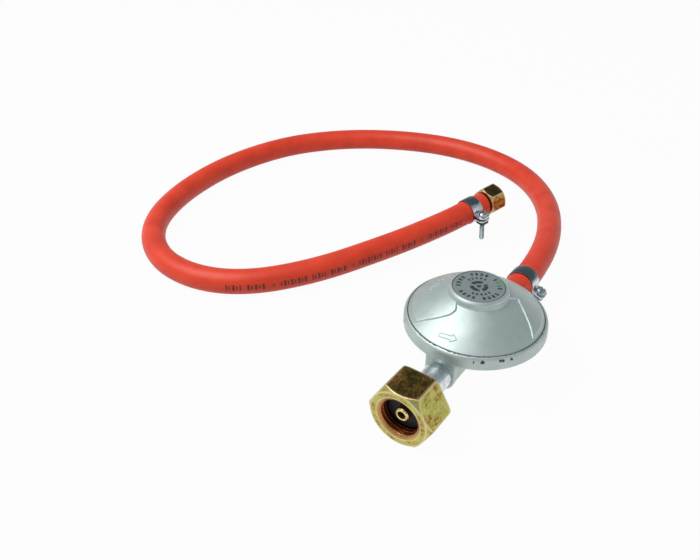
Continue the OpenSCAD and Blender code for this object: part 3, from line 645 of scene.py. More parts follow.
def grid_object(name, points, body, materials, close_rows=True, lengths=None,
                inner_from=None, sharp=40, marks=None):
    """A mesh from rows and columns of points. Columns close on themselves. Rows do too, or their
    two open ends are filled with one face each. lengths gives each row its place along the piece
    for the map named along. Rows from inner_from on take the second material. Edges sharper than
    sharp degrees stay crisp. marks holds numbers for each point, by name, for the materials."""
    rows, columns = points.shape[:2]
    flat = points.reshape(-1, 3)
    bands = rows if close_rows else rows - 1
    r, c = np.meshgrid(np.arange(bands), np.arange(columns), indexing="ij")
    r1, c1 = (r + 1) % rows, (c + 1) % columns
    quads = np.stack([r * columns + c, r * columns + c1, r1 * columns + c1, r1 * columns + c],
                     -1).reshape(-1, 4)
    if close_rows:
        caps = []
        inside = volume(flat, quads)
    else:
        first, final = np.arange(columns)[::-1], np.arange(columns) + (rows - 1) * columns
        caps = [first, final]
        fans = [np.stack([np.full(columns - 2, cap[0]), cap[1:-1], cap[2:], cap[2:]], -1)
                for cap in caps]
        inside = volume(flat, np.concatenate([quads, *fans]))
    if inside < 0:
        quads = quads[:, ::-1]
        caps = [cap[::-1] for cap in caps]
    mesh = bpy.data.meshes.new(name)
    mesh.from_pydata(flat, [], [*quads.tolist(), *[cap.tolist() for cap in caps]])
    for material in materials:
        mesh.materials.append(material)
    if inner_from is not None:
        kinds = (np.arange(bands) >= inner_from).astype(int)
        mesh.polygons.foreach_set("material_index", np.repeat(kinds, columns))
    if lengths is not None:
        long = np.append(lengths, lengths[0])
        corner = np.stack([np.stack([long[r], c / columns], -1),
                           np.stack([long[r], (c + 1) / columns], -1),
                           np.stack([long[r + 1], (c + 1) / columns], -1),
                           np.stack([long[r + 1], c / columns], -1)], -2).reshape(-1, 4, 2)
        if inside < 0:
            corner = corner[:, ::-1]
        mesh.uv_layers.new(name="along").data.foreach_set("uv", corner.reshape(-1).astype("f4"))
    for mark, values in (marks or {}).items():
        mark = mesh.attributes.new(mark, "FLOAT", "POINT")
        mark.data.foreach_set("value", np.broadcast_to(values, (rows, columns)).astype("f4").ravel())
    smooth_faces(mesh)
    mesh.set_sharp_from_angle(angle=math.radians(sharp))
    mesh.validate()
    return add_piece(name, mesh, body)


def smooth_faces(mesh):
    """Shades the mesh's faces as one soft surface."""
    mesh.polygons.foreach_set("use_smooth", np.ones(len(mesh.polygons), bool))
    mesh.update()


def add_piece(name, mesh, body):
    """The mesh as an object at the origin that moves with a body."""
    piece = bpy.data.objects.new(name, mesh)
    bpy.context.scene.collection.objects.link(piece)
    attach(piece, body)
    return piece


def settle(piece):
    """Puts the result of the piece's modifiers into its mesh."""
    graph = bpy.context.evaluated_depsgraph_get()
    made = bpy.data.meshes.new_from_object(piece.evaluated_get(graph), depsgraph=graph)
    piece.modifiers.clear()
    piece.data = made


def run_along(path):
    """How far along a path each of its points lies: the lengths of its steps, summed."""
    return np.append(0, np.cumsum(np.linalg.norm(np.diff(path, axis=0), axis=1)))


def eased(share):
    """A share of 0 to 1 that starts and ends softly: three of its squares less two cubes."""
    return share * share * (3 - 2 * share)


def on_flow(radius, angle, place, start_x):
    """Points round the flow axis: angle counts from +Y to +Z, place runs along +X from start_x."""
    return np.stack([start_x + place, radius * np.cos(angle), FLOW_Z + radius * np.sin(angle)], -1)


def at_hose_end(points):
    """Points whose +X leaves the hose's far end, +Y lies to its left and +Z is up."""
    return points @ END_AXES + HOSE_END


def thread_groove(place, angle, pitch, depth):
    """Depth of a left-hand groove: a flat-topped wedge in the fraction of place over pitch plus
    the share of a turn."""
    share = np.mod(place / pitch + angle / ONE_TURN, 1.0)
    top, slope = 1.35, 3.6
    return depth * np.clip(top - np.abs(share - 0.5) * slope, 0, 1)


def closely_spaced(rows, most):
    """The closed loop of rows with rows added evenly between neighbours farther apart than most."""
    dense = []
    for before, after in zip(rows, np.roll(rows, -1, axis=0)):
        count = math.ceil(np.hypot(*(after - before).reshape(-1, 2).T).max() / most)
        dense += [before + (after - before) * step / count for step in range(max(count, 1))]
    return np.array(dense)


# How far the rubbed look, which is partly wear and partly a painted edge highlight, reaches in from a
# nut's edge
EDGE_WEAR_AND_HIGHLIGHT_REACH = 0.5 * MM


def nut_rows(angle, outer, length, front, back, bore, threads, edge):
    """Rows of [radius, place] for a nut, from its mouth's inner edge out over the front, back
    along the flats, in over the back and forward along the bore. front and back are the radius
    of the face and the slope of the chamfer, which meets each point of the outline where it
    reaches the outline's radius. bore lists the corners from the back face to the mouth, and
    threads the thread's deep and near end, radius, depth and pitch. Also gives the wear of each
    point, which falls off from every outer edge as a bell curve; the material uses it both for
    rubbed wear and for a painted edge highlight."""
    face, slope = front
    rear, rear_slope = back
    front_edge = np.maximum(outer - face, 0) * slope
    rear_edge = length - np.maximum(outer - rear, 0) * rear_slope
    profile = [(face, 0.0), (outer, front_edge), (outer, rear_edge),
               (np.minimum(outer, rear) - 1e-6, length), *bore]
    rows = soften([np.stack(np.broadcast_arrays(radius, place, angle)[:2], -1)
                   for radius, place in profile], [edge] * 4 + [edge * 0.8] * len(bore))
    start, end, inner, depth, pitch = threads
    wanted = np.arange(start, end, -pitch / 12)[:, None]
    fade = np.minimum(1, np.minimum(start - wanted, wanted - end) / pitch)
    run = np.stack([inner + thread_groove(wanted, angle, pitch, depth) * fade,
                    np.repeat(wanted, len(angle), 1)], -1)
    place = rows[..., 1].mean(1)
    radius = rows[..., 0].mean(1)
    cut = max(i for i in range(len(rows)) if abs(radius[i] - inner) < 1e-7 and place[i] >= start)
    rows = closely_spaced(np.concatenate([rows[:cut + 1], run, rows[cut + 1:]]), 0.9 * MM)
    radius, place = rows[..., 0], rows[..., 1]
    beside = np.sqrt(np.maximum(outer ** 2 - outer.min() ** 2, 0))
    gaps = [np.hypot(radius - edge_r, place - edge_x)
            for edge_r, edge_x in ((face, 0), (outer, front_edge), (outer, rear_edge), bore[-1])]
    gaps.append(np.where(radius > outer - 0.05 * MM, beside.max() - beside, 1.0))
    return rows, np.exp(-(np.minimum.reduce(gaps) / EDGE_WEAR_AND_HIGHLIGHT_REACH) ** 2)


# ---- Pieces ----

def union_nut(nuts):
    """Hexagon nut with a wide front chamfer and a left-hand thread seen through its mouth."""
    angle, outer = rounded_hexagon(NUT_FLATS, 0.35 * MM, 0.0)
    thread_r, depth, hole = 9.75 * MM, 12.5 * MM, 7.4 * MM
    corner = NUT_FLATS / math.sqrt(3)
    face = NUT_FLATS / 2 - 0.2 * MM
    mouth = thread_r + 1.84 * MM
    slope = 2.6 * MM / (corner + 0.1 * MM - face)
    rows, worn = nut_rows(angle, outer, NUT_LENGTH, (face, slope), (corner - 0.8 * MM, 0.9),
                          [(hole, NUT_LENGTH), (hole, depth), (thread_r, depth),
                           (thread_r, 1.3 * MM), (mouth, 0.0)],
                          (depth - 0.6 * MM, 1.6 * MM, thread_r, nuts.union_depth,
                           nuts.union_pitch), nuts.edge)
    start = float(NUT_LOW[0])
    points = on_flow(rows[..., 0], angle, rows[..., 1], start)
    gold = chromated_steel("chromated union nut", nuts, (start, 0, FLOW_Z), (0, 0, 0), 1, mouth,
                           0.24, 1.0)
    nut = grid_object("union_nut_turned", points, "union_nut", [gold],
                      sharp=50, marks={"worn": worn})
    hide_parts("union_nut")


def swivel_nut(nuts):
    """Small hexagon nut with both ends chamfered, loose on the hose's tail."""
    flats, length, start = 17 * MM, 11.6 * MM, 1.0 * MM
    angle, outer = rounded_hexagon(flats, 0.25 * MM, math.radians(15))
    face = flats / 2 - 0.1 * MM
    slope = 1.2 * MM / (flats / math.sqrt(3) + 0.1 * MM - face)
    thread_r = 5.72 * MM
    mouth, relief, hole = thread_r + 0.8 * MM, thread_r + 0.6 * MM, thread_r - 0.8 * MM
    floor, seat = 5.8 * MM, 2.5 * MM
    rows, worn = nut_rows(angle, outer, length, (face, slope), (face, slope),
                          [(mouth, length), (thread_r, length - 0.8 * MM), (thread_r, floor),
                           (relief, floor), (relief, seat), (hole, seat), (hole, 0.0)],
                          (length - 1.1 * MM, floor + 0.3 * MM, thread_r, nuts.swivel_depth,
                           nuts.swivel_pitch), nuts.edge * 0.8)
    points = np.stack([start + rows[..., 1], rows[..., 0] * np.cos(angle),
                       rows[..., 0] * np.sin(angle)], -1)
    gold = chromated_steel("chromated swivel nut", nuts, HOSE_END + (start + length) * END_OUT,
                           (0, -END_TILT, END_TURN), -1, mouth, 0.44, 0.6)
    nut = grid_object("swivel_nut_turned", at_hose_end(points), "swivel_nut", [gold],
                      sharp=50, marks={"worn": worn})
    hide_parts("swivel_nut")


# The sunk field's two sides: radius in millimetres and angle in degrees from +X
FIELD_LEFT = [[14.8, 163], [16.5, 168.5], [18, 171.5], [20.6, 168.9], [24.1, 160.3],
              [29.1, 149.2], [33, 143.5]]
FIELD_RIGHT = [[14.8, 282], [15.8, 288.4], [17.5, 293], [19.3, 297], [20.3, 292.1], [22.1, 284.2],
               [25.2, 275.8], [28.7, 269.6], [33, 262]]


def side_angle(side, radius):
    """Angle of one side of the field at each radius: its points joined, then averaged over 0.8 mm."""
    fine = np.linspace(12 * MM, 36 * MM, 481)
    r, a = np.array(side).T
    angle = np.interp(fine, r * MM, np.radians(a))
    kernel = np.hanning(19)
    angle = np.convolve(np.pad(angle, 9, mode="edge"), kernel / kernel.sum(), mode="valid")
    return np.interp(radius, fine, angle)


def cone_height(share):
    """Height of the cover's cone for the share of the way out from hub to rim: a straight slope
    and half a sine wave that bulges it."""
    line = RIM_TOP + (HUB_FOOT - RIM_TOP) * (1 - share) - 0.1 * MM * share
    return line + 0.7 * MM * np.sin(math.pi * share)


def on_cone(radius):
    """Height of the sunk field's surface at a radius."""
    return cone_height((radius - CONE_FOOT) / (COVER_R - CONE_FOOT))


def cover_casting(housing):
    """Cover: a closed profile turned about the disc's axis. The columns bend so that they follow
    the two sides of the sunk field, and the rest stands over it by a soft step at each side."""
    share = np.union1d(np.linspace(0.06, 0.995, 44), np.linspace(0.90, 0.985, 12))[::-1]
    cone = np.stack([CONE_FOOT + share * (COVER_R - CONE_FOOT), cone_height(share)], -1)
    field_out = COVER_R - 0.9 * MM
    seam = float(COVER_LOW[2])
    seat, seat_r, bore = COVER_TOP - 1.2 * MM, LABEL_R + 0.12 * MM, HUB_R - 3.3 * MM
    ceiling, inner_r = HUB_FOOT - 2 * MM, 31 * MM
    corners = [[COVER_R, seam], [COVER_R, RIM_TOP - 0.1 * MM], *cone,
               [HUB_R + 0.15 * MM, HUB_FOOT], [HUB_R, COVER_TOP - 1.1 * MM],
               [HUB_R - 1.1 * MM, COVER_TOP], [seat_r, COVER_TOP], [seat_r, seat], [bore, seat],
               [bore, ceiling], [HUB_R - 1.3 * MM, ceiling], [inner_r, seam + 0.1 * MM],
               [inner_r, seam]]
    radii = [0.05, 0.3, *[0] * len(cone), 1.1, 0.7, 0.5, 0.15, 0.1, 0.1, 0.3, 0.5, 0.05, 0.05]
    profile = soften(np.array(corners)[:, None], np.array(radii) * MM)[:, 0]
    radius, height = profile.T
    # The profile starts outside, and its first points after the cone round the hub's foot
    seen = np.arange(len(radius)) < len(cone) + 20
    outside = (height > RIM_TOP - 0.05 * MM) & seen
    soft = 0.4 * MM
    band = np.array([-1, -0.5, 0, 0.5, 1])
    left = side_angle(FIELD_LEFT, radius)[:, None]
    right = side_angle(FIELD_RIGHT, radius)[:, None]
    reach = (soft / np.maximum(radius, HUB_R))[:, None]
    sunk, rest = (np.arange(1, count + 1) / (count + 1) for count in (120, 210))
    angle = np.concatenate([
        left + band * reach,
        left + reach + (right - left - 2 * reach) * sunk,
        right + band * reach,
        right + reach + (left + ONE_TURN - right - 2 * reach) * rest], 1)
    step = eased((band + 1) / 2)
    proud = np.concatenate([1 - step, 0 * sunk, step, 0 * rest + 1])
    rim_fade = eased(np.clip((field_out + soft - radius) / (3.5 * soft), 0, 1))
    hub_fade = np.clip((HUB_FOOT + 1.6 * MM - height) / (1.2 * MM), 0, 1)
    lift = housing.field_depth * proud * (outside * rim_fade * hub_fade)[:, None]
    points = np.stack([DISC_X + radius[:, None] * np.cos(angle),
                       radius[:, None] * np.sin(angle), height[:, None] + lift], -1)
    lacquer = lacquered_zinc("lacquered cover casting", housing.lacquer)
    cover = grid_object("cover_casting", points, "regulator", [lacquer], sharp=60)
    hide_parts("cover")
    return lacquer


# Bars on the back of the cone: angle, and the radii where each starts and ends
COVER_TICKS = [(58, 21, 25.2), (64, 21, 23.5), (70, 21, 25.2), (76, 22.6, 25.2), (82, 21, 25.2),
               (88, 21, 23.5), (94, 21, 25.2), (100, 21, 25.2), (106, 22.6, 25.2)]


def flow_arrow(lacquer):
    """Raised outline of a plain arrow on the cover that shows the way of the gas: a half-round
    ridge carried round the arrow's outline, laid on the cone's sunk field."""
    tail, head, half, barb, neck = -0.5, 8.4, 0.8, 1.75, 5.6
    outline = np.array([[tail, -half], [neck, -half], [neck, -barb], [head, 0], [neck, barb],
                        [neck, half], [tail, half]])
    ends = np.roll(outline, -1, 0)
    share = np.linspace(0, 1, 12, endpoint=False)[None, :, None]
    path = (outline[:, None] * (1 - share) + ends[:, None] * share).reshape(-1, 2)
    path = (path + np.roll(path, 1, 0) + np.roll(path, -1, 0)) / 3
    ahead = unit(np.roll(path, -1, 0) - np.roll(path, 1, 0))
    beside = np.stack([-ahead[:, 1], ahead[:, 0]], -1)
    turn = np.linspace(0, ONE_TURN, 8, endpoint=False)
    wide, tall, sunk = 0.38, 0.34, 0.06
    plan = path[:, None] + beside[:, None] * (wide * np.cos(turn))[None, :, None]
    start = np.array([-29.4, 3.8])
    way = np.array([0.08, -0.997])
    across = np.array([-way[1], way[0]])
    x, y = (start + plan[..., :1] * way + plan[..., 1:] * across).transpose(2, 0, 1) * MM
    z = on_cone(np.hypot(x, y)) + (tall * np.sin(turn) - sunk) * MM
    points = np.stack([DISC_X + x, y, z], -1)
    grid_object("cover_arrow", points, "regulator", [lacquer])


def cover_ticks(lacquer, proud):
    """Row of short raised bars on the back of the cone: each is a half-round ridge that runs
    down the slope and sinks into it at both ends. proud is how far the cone stands there."""
    run = np.linspace(0, 1, 9)
    turn = np.linspace(0, ONE_TURN, 10, endpoint=False)
    bulge = np.sqrt(np.clip(1 - (2 * run - 1) ** 8, 0.02, 1))[:, None]
    wide, tall, sunk = 0.50, 0.45, 0.04
    aside = wide * MM * bulge * np.cos(turn)
    lift = (tall * bulge * np.sin(turn) - sunk) * MM
    for number, (degrees, low, high) in enumerate(COVER_TICKS):
        radius = (low + (high - low) * run) * MM
        at = math.radians(degrees)
        points = np.stack([DISC_X + radius[:, None] * math.cos(at) - aside * math.sin(at),
                           radius[:, None] * math.sin(at) + aside * math.cos(at),
                           on_cone(radius)[:, None] + proud + lift], -1)
        grid_object(f"cover_tick_{number}", points, "regulator", [lacquer],
                    close_rows=False)


# Marks that the closing tool left on the rolled rim: angle, width and depth
RIM_NICKS = [(-147, 1.5, 0.5), (-132, 1.3, 0.45), (-124.5, 0.9, 0.35), (-153.5, 0.8, 0.3)]
# Chips in its lacquer there and at its left: angle, height and width
RIM_CHIPS = [(-147, 29.0, 0.9), (-131.5, 29.3, 0.7), (-133.5, 29.5, 0.6), (-124.5, 29.4, 0.6),
             (-153.5, 28.7, 0.4), (132, 28.7, 0.5)]


# The undercut behind the rolled lip: the radii and heights of its wall, and the lip's radius
UNDERCUT_R = (34.5 * MM, 34.8 * MM)
UNDERCUT_Z = (29 * MM, 30.8 * MM)
LIP_R = 34.2 * MM


def round_disc(mesh):
    """The mesh's points, and the radius and angle of each about the disc's axis."""
    place = np.empty(len(mesh.vertices) * 3, "f4")
    mesh.vertices.foreach_get("co", place)
    place = place.reshape(-1, 3).astype(float)
    x, y = place[:, 0] - DISC_X, place[:, 1]
    return place, np.hypot(x, y), np.arctan2(y, x)


def lower_casting(housing):
    """Lower body: the frame's own shape, closed over a fine grid and eased so that every edge
    and inner corner is rounded as a casting's are. The closing tool's marks are pressed in."""
    source = next(o for o in bpy.data.objects if o.get("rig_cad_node") == "lower_body")
    work = bmesh.new()
    work.from_mesh(source.data)
    work.transform(source.matrix_world)
    bmesh.ops.remove_doubles(work, verts=work.verts, dist=0.004 * MM)
    mesh = bpy.data.meshes.new("lower_casting")
    work.to_mesh(mesh)
    work.free()
    # The undercut is finer than the grid, so its wall comes in to the lip
    place, radius, _ = round_disc(mesh)
    z = place[:, 2]
    wall = ((radius > UNDERCUT_R[0]) & (radius < UNDERCUT_R[1])
            & (z > UNDERCUT_Z[0]) & (z < UNDERCUT_Z[1]))
    axis = np.array([DISC_X, 0])
    place[wall, :2] = axis + (place[wall, :2] - axis) * (LIP_R / radius[wall, None])
    mesh.vertices.foreach_set("co", place.astype("f4").reshape(-1))
    mesh.materials.clear()
    mesh.materials.append(lacquered_zinc("lacquered lower casting", housing.lacquer, RIM_CHIPS))
    body = add_piece("lower_casting", mesh, "regulator")
    grid = body.modifiers.new("grid", "REMESH")
    grid.mode = "VOXEL"
    grid.voxel_size = housing.voxel
    ease = body.modifiers.new("ease", "SMOOTH")
    ease.factor = 0.5
    ease.iterations = 7
    settle(body)
    mesh = body.data
    place, radius, angle = round_disc(mesh)
    z = place[:, 2].copy()
    for degrees, width, depth in RIM_NICKS:
        off = np.hypot((angle - math.radians(degrees)) * radius, (z - RIM_TOP + 1.9 * MM) * 0.8)
        dent = depth * MM * np.clip(1 - off / (width * MM), 0, 1) * (radius > 34 * MM)
        place[:, 0] -= dent * np.cos(angle)
        place[:, 1] -= dent * np.sin(angle)
    # The rolled rim hangs a little below the flange that it grips
    outwards = np.clip((radius / MM - 32) / 2.5, 0, 1)
    downwards = np.clip((RIM_TOP - 2 * MM - z) / (3 * MM), 0, 1)
    place[:, 2] -= 0.9 * MM * outwards * downwards
    mesh.vertices.foreach_set("co", place.astype("f4").reshape(-1))
    smooth_faces(mesh)
    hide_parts("lower_body")


def smooth_route():
    """The route's points joined by a Catmull-Rom curve in steps of about 2 mm, no lower than the
    hose's radius, with the middle eased by averaging neighbours. Gives points and arc length."""
    t = (np.arange(12) / 12)[None, :, None]
    p = np.concatenate([ROUTE[:1], ROUTE, ROUTE[-1:]])
    p0, p1, p2, p3 = (p[i:len(p) - 3 + i][:, None] for i in range(4))
    curve = 0.5 * (2 * p1 + (p2 - p0) * t + (2 * p0 - 5 * p1 + 4 * p2 - p3) * t ** 2
                   + (3 * p1 - p0 - 3 * p2 + p3) * t ** 3)
    line = np.concatenate([curve.reshape(-1, 3), ROUTE[-1:]])
    line[:, 2] = np.maximum(line[:, 2], HOSE_R * MM)
    for _ in range(30):
        line[18:-18] = (line[17:-19] + 2 * line[18:-18] + line[19:-17]) / 4
    return line, run_along(line)


def hose_rings():
    """Where the hose's rings lie: their distance along it, closer together at the clamps, and
    their centres."""
    line, long = smooth_route()
    total = float(long[-1])
    wanted = np.unique(np.concatenate([np.linspace(0, total, 380),
                                       np.linspace(0, 32 * MM, 70),
                                       total - np.linspace(0, 24 * MM, 66)]))
    return wanted, np.stack([np.interp(wanted, long, line[:, i]) for i in range(3)], -1)


def hose_tube(hose, clamps):
    """Hose: a ring carried along the route, in over the far end's face and back along the bore.
    Its radius dips under each band and swells beside it."""
    wanted, centre = hose_rings()
    total = float(wanted[-1])
    along = unit(np.gradient(centre, wanted, axis=0))
    side = unit(np.cross([0, 0, 1], along))
    up = np.cross(along, side)
    radius = np.full(len(wanted), hose.outer)
    # How soon the dip under a band ends, and how far beside it and how widely the rubber swells
    soft, beside, wide = 0.28 * MM, 0.9 * MM, 1.1 * MM
    for middle in (OUTLET_CLAMP_X - HOSE_START[0], total - END_CLAMP_BACK):
        off = np.abs(wanted - middle) - clamps.width / 2
        under = 1 / (1 + np.exp(np.minimum(off / soft, 500)))
        swell = 1.1 * np.exp(-((off - beside) / wide) ** 2) * (1 - under)
        radius += hose.squeeze * (swell - under)
    edge = np.minimum(wanted, total - wanted)
    radius -= 0.45 * MM * np.clip(1 - edge / (0.5 * MM), 0, 1) ** 2
    turn = np.linspace(0, ONE_TURN, 56, endpoint=False)

    def rings(index, radii):
        return (centre[index, None] + radii[:, None, None] * (
            np.cos(turn)[None, :, None] * side[index, None]
            + np.sin(turn)[None, :, None] * up[index, None]))

    outside = np.arange(len(wanted))
    inside = outside[::-1][::4]
    inside = np.append(inside, 0) if inside[-1] else inside
    points = np.concatenate([rings(outside, radius),
                             rings(inside, np.full(len(inside), hose.bore))])
    lengths = np.concatenate([wanted, wanted[inside]])
    rubber = [hose_cover(hose), moulded_rubber("hose lining")]
    tube = grid_object("hose_tube", points, "regulator", rubber, lengths=lengths,
                       inner_from=len(wanted), sharp=50)
    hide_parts("hose")


def declare_hose(outer):
    """Finds the tube and turns the centres of its rings into lists of points, which are not kept."""
    tube, centre = bpy.data.objects["hose_tube"], hose_rings()[1]
    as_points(centre)


def band_strip(name, clamps, outer, node, place):
    """Clamp band: a strip's section carried in from one ear's end, through a bend, round the hose
    and out to the other ear's end. It narrows at both ends by the round of the ears' corners."""
    half_gap = clamps.gap / 2 + clamps.thickness / 2
    ring = outer + clamps.thickness / 2
    bend, corner = 1.0 * MM, 2.2 * MM
    bend_y = -math.sqrt((ring + bend) ** 2 - (half_gap + bend) ** 2)
    inward = math.atan2(-(half_gap + bend), -bend_y)
    ear = np.stack([np.concatenate([np.linspace(-clamps.reach, -clamps.reach + corner, 9),
                                    np.linspace(-clamps.reach + 3 * MM, bend_y, 6)]),
                    np.full(15, half_gap)], -1)
    swing = np.linspace(-math.pi / 2, inward, 7)[1:]
    knee = np.stack([bend_y + bend * np.cos(swing), half_gap + bend + bend * np.sin(swing)], -1)
    start = math.atan2(half_gap + bend, bend_y)
    sweep = np.linspace(start, 0, 48)[1:]
    loop = ring * np.stack([np.cos(sweep), np.sin(sweep)], -1)
    upper = np.concatenate([ear, knee, loop])
    path = np.concatenate([upper, upper[:-1][::-1] * [1, -1]])
    ahead = unit(np.gradient(path, axis=0))
    across = np.stack([ahead[:, 1], -ahead[:, 0]], -1)
    long = run_along(path)
    from_end = np.minimum(long, long[-1] - long)
    tip = np.clip(from_end, 0, corner)
    width = clamps.width - 2 * (corner - np.sqrt(corner ** 2 - (corner - tip) ** 2))
    # Three points round each of the section's four corners: its sides, and how far it is cut
    side_w, side_t = np.repeat([[1, -1], [1, 1], [-1, 1], [-1, -1]], 3, axis=0).T
    cut_w = 0.18 * MM * np.tile([1, 0.3, 0, 0, 0.3, 1], 2)
    cut_t = 0.18 * MM * np.tile([0, 0.3, 1, 1, 0.3, 0], 2)
    x = (width[:, None] / 2 - cut_w) * side_w
    off = (clamps.thickness / 2 - cut_t) * side_t
    spot = path[:, None] + across[:, None] * off[None, :, None]
    points = np.stack([x, spot[..., 0], spot[..., 1]], -1)
    ear_length = clamps.reach - ring
    # Marks the loop away from the ears for the painted dark reflection
    blued = np.clip((from_end - ear_length - 3 * MM) / (5 * MM), 0, 1)[:, None]
    steel = band_steel(name.replace("_strip", " steel").replace("_", " "))
    band = grid_object(name, place(points), "regulator", [steel], close_rows=False,
                       sharp=35, marks={"blued": blued, "worn": np.tile([0, 1, 0], 4)})
    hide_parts(node)


def at_outlet_clamp(points):
    """The outlet clamp's frame: +X along the flow, ears along -Y, tilted down at the ears."""
    tilt = math.radians(22)
    c, s = math.cos(tilt), math.sin(tilt)
    turn = np.array([[1, 0, 0], [0, c, -s], [0, s, c]])
    return points @ turn.T + [OUTLET_CLAMP_X, 0, FLOW_Z]


def at_end_clamp(points):
    """The end clamp's frame: back from the hose's far end, ears level."""
    return at_hose_end(points - [END_CLAMP_BACK, 0, 0])


def screw_thread(name, clamps, bottom, top, body, material, place):
    """Thread below a clamp's nut: a triangular ridge carried along a right-hand helix, which
    sinks into the shank at both ends."""
    turns = (top - bottom) / clamps.pitch
    share = np.linspace(0, 1, int(turns * 22))[:, None]
    angle = share * turns * ONE_TURN
    height = bottom + share * (top - bottom)
    fade = np.clip(np.minimum(share, 1 - share) * turns * 2, 0, 1)
    shank = 1.33 * MM
    rise = np.array([-0.12, 0.17, -0.12]) * MM
    radius = shank + rise * np.where(rise > 0, fade, 1)
    up = np.array([-0.21, 0, 0.21]) * MM
    points = np.stack([radius * np.cos(angle), -clamps.screw + radius * np.sin(angle),
                       height + up], -1)
    grid_object(name, place(points), body, [material], close_rows=False,
                sharp=25)


# ---- Operators ----

def seen_rays(recipe):
    """1 for rays from the camera, reflections and glass, and 0 for soft bounces."""
    kinds = [recipe.node("ShaderNodeLightPath", out=kind)
             for kind in ("Is Camera Ray", "Is Glossy Ray", "Is Transmission Ray")]
    return recipe.math("MINIMUM", sum(kinds), 1.0)


class BuildStage(bpy.types.Operator):
    """Makes the camera, the pale floor, the lamps and the world"""
    bl_idname = "regulator.stage"
    bl_label = "Stage"

    def execute(self, context):
        stage = context.scene.rg_stage
        camera = bpy.data.objects.new("camera", bpy.data.cameras.new("camera"))
        camera.data.lens = stage.lens
        camera.data.clip_start = 0.01
        camera.location = stage.eye
        camera.rotation_euler = (stage.pitch, 0, stage.heading)
        context.scene.collection.objects.link(camera)
        context.scene.camera = camera
        context.scene.view_settings.view_transform = "Standard"
        self.floor(context, stage.floor_size, stage.floor_white)
        self.world(context, stage.sky)
        middle = Vector((0.08, 0.09, 0.0))
        self.lamp(context, "key lamp", (-0.36, 0.46, 0.90), middle, 0.80, stage.key)
        self.lamp(context, "fill lamp", (0.20, -0.95, 0.30), middle, 0.60, stage.fill)
        return {"FINISHED"}

    def floor(self, context, size, white):
        """A level sheet of pale paper. Seen directly, in metal or through glass it is plain white
        for the given share, and the rest shows the object's shadow."""
        r = Recipe("pale floor", Roughness=0.7)
        fibre = r.noise(r.place(), 6 * MM, 2.0)
        r.feed(Base_Color=r.blend(fibre, (0.76, 0.76, 0.76), (0.78, 0.78, 0.78)))
        glow = r.node("ShaderNodeEmission", {}, {"Strength": 1.0})
        seen = r.node("ShaderNodeMixShader", {},
                      {0: seen_rays(r) * white, 1: r.surface, 2: glow})
        r.put(r.end.inputs["Surface"], seen)
        h = size / 2
        mesh = bpy.data.meshes.new("floor")
        mesh.from_pydata([(-h, -h, 0), (h, -h, 0), (h, h, 0), (-h, h, 0)], [], [(0, 1, 2, 3)])
        mesh.materials.append(r.material)
        floor = bpy.data.objects.new("floor", mesh)
        context.scene.collection.objects.link(floor)

    def world(self, context, strength):
        """Pale at the horizon and dimmer overhead, and at full strength where the camera or a
        reflection sees it."""
        world = bpy.data.worlds.new("studio")
        context.scene.world = world
        world.use_nodes = True
        r = Recipe.of_tree(world.node_tree)
        height = r.axes(r.place("Generated"))[2]
        ramp = r.node("ShaderNodeValToRGB", {"stops": [
            (0.02, (1.0, 1.0, 1.0, 1)), (0.15, (0.44, 0.47, 0.50, 1)),
            (0.80, (0.36, 0.39, 0.42, 1))]}, {0: height})
        light = r.node("ShaderNodeBackground", {}, {"Color": ramp, "Strength": strength})
        seen = r.node("ShaderNodeBackground", {}, {"Color": ramp, "Strength": 1.0})
        mixed = r.node("ShaderNodeMixShader", {}, {0: seen_rays(r), 1: light, 2: seen})
        r.node("ShaderNodeOutputWorld", {}, {"Surface": mixed}, out=None)

    def lamp(self, context, name, where, aim, size, power):
        """A square soft box that faces its aim."""
        data = bpy.data.lights.new(name, "AREA")
        data.size = size
        data.energy = power
        lamp = bpy.data.objects.new(name, data)
        lamp.location = where
        lamp.rotation_euler = (aim - Vector(where)).to_track_quat("-Z", "Y").to_euler()
        context.scene.collection.objects.link(lamp)


class BuildHose(bpy.types.Operator):
    """Makes the hose along its route"""
    bl_idname = "regulator.hose"
    bl_label = "Hose"

    def execute(self, context):
        hose_tube(context.scene.rg_hose, context.scene.rg_clamps)
        return {"FINISHED"}


class BuildNuts(bpy.types.Operator):
    """Makes the union nut and the swivel nut with their threads"""
    bl_idname = "regulator.nuts"
    bl_label = "Nuts"

    def execute(self, context):
        union_nut(context.scene.rg_nuts)
        swivel_nut(context.scene.rg_nuts)
        return {"FINISHED"}


class BuildHousing(bpy.types.Operator):
    """Makes the cast housing: cover with its sunk field and arrow, and lower body"""
    bl_idname = "regulator.housing"
    bl_label = "Housing"

    def execute(self, context):
        housing = context.scene.rg_housing
        lacquer = cover_casting(housing)
        flow_arrow(lacquer)
        cover_ticks(lacquer, housing.field_depth)
        lower_casting(housing)
        return {"FINISHED"}


# Along a clamp screw from the middle between the ears: the square nut's height and both tips
CLAMP_NUT_TALL = 2.7 * MM
END_SCREW_TIP, OUTLET_SCREW_TIP = -16.2 * MM, -10.2 * MM


class BuildClamps(bpy.types.Operator):
    bl_idname = "regulator.clamps"
    bl_label = "Hose clamps"

    def execute(self, context):
        clamps, outer = context.scene.rg_clamps, context.scene.rg_hose.outer
        band_strip("outlet_band_strip", clamps, outer, "outlet_clamp_band", at_outlet_clamp)
        band_strip("end_band_strip", clamps, outer, "end_clamp_band", at_end_clamp)
        zinc = bright_zinc("bright screw thread", (0.56, 0.60, 0.61), "z")
        nut_foot = -clamps.gap / 2 - clamps.thickness - CLAMP_NUT_TALL
        screw_thread("end_screw_thread", clamps, END_SCREW_TIP, nut_foot, "end_clamp_screw", zinc,
                     at_end_clamp)
        screw_thread("outlet_screw_thread", clamps, OUTLET_SCREW_TIP, nut_foot,
                     "outlet_clamp_screw", zinc, at_outlet_clamp)
        declare_hose(outer)
        return {"FINISHED"}


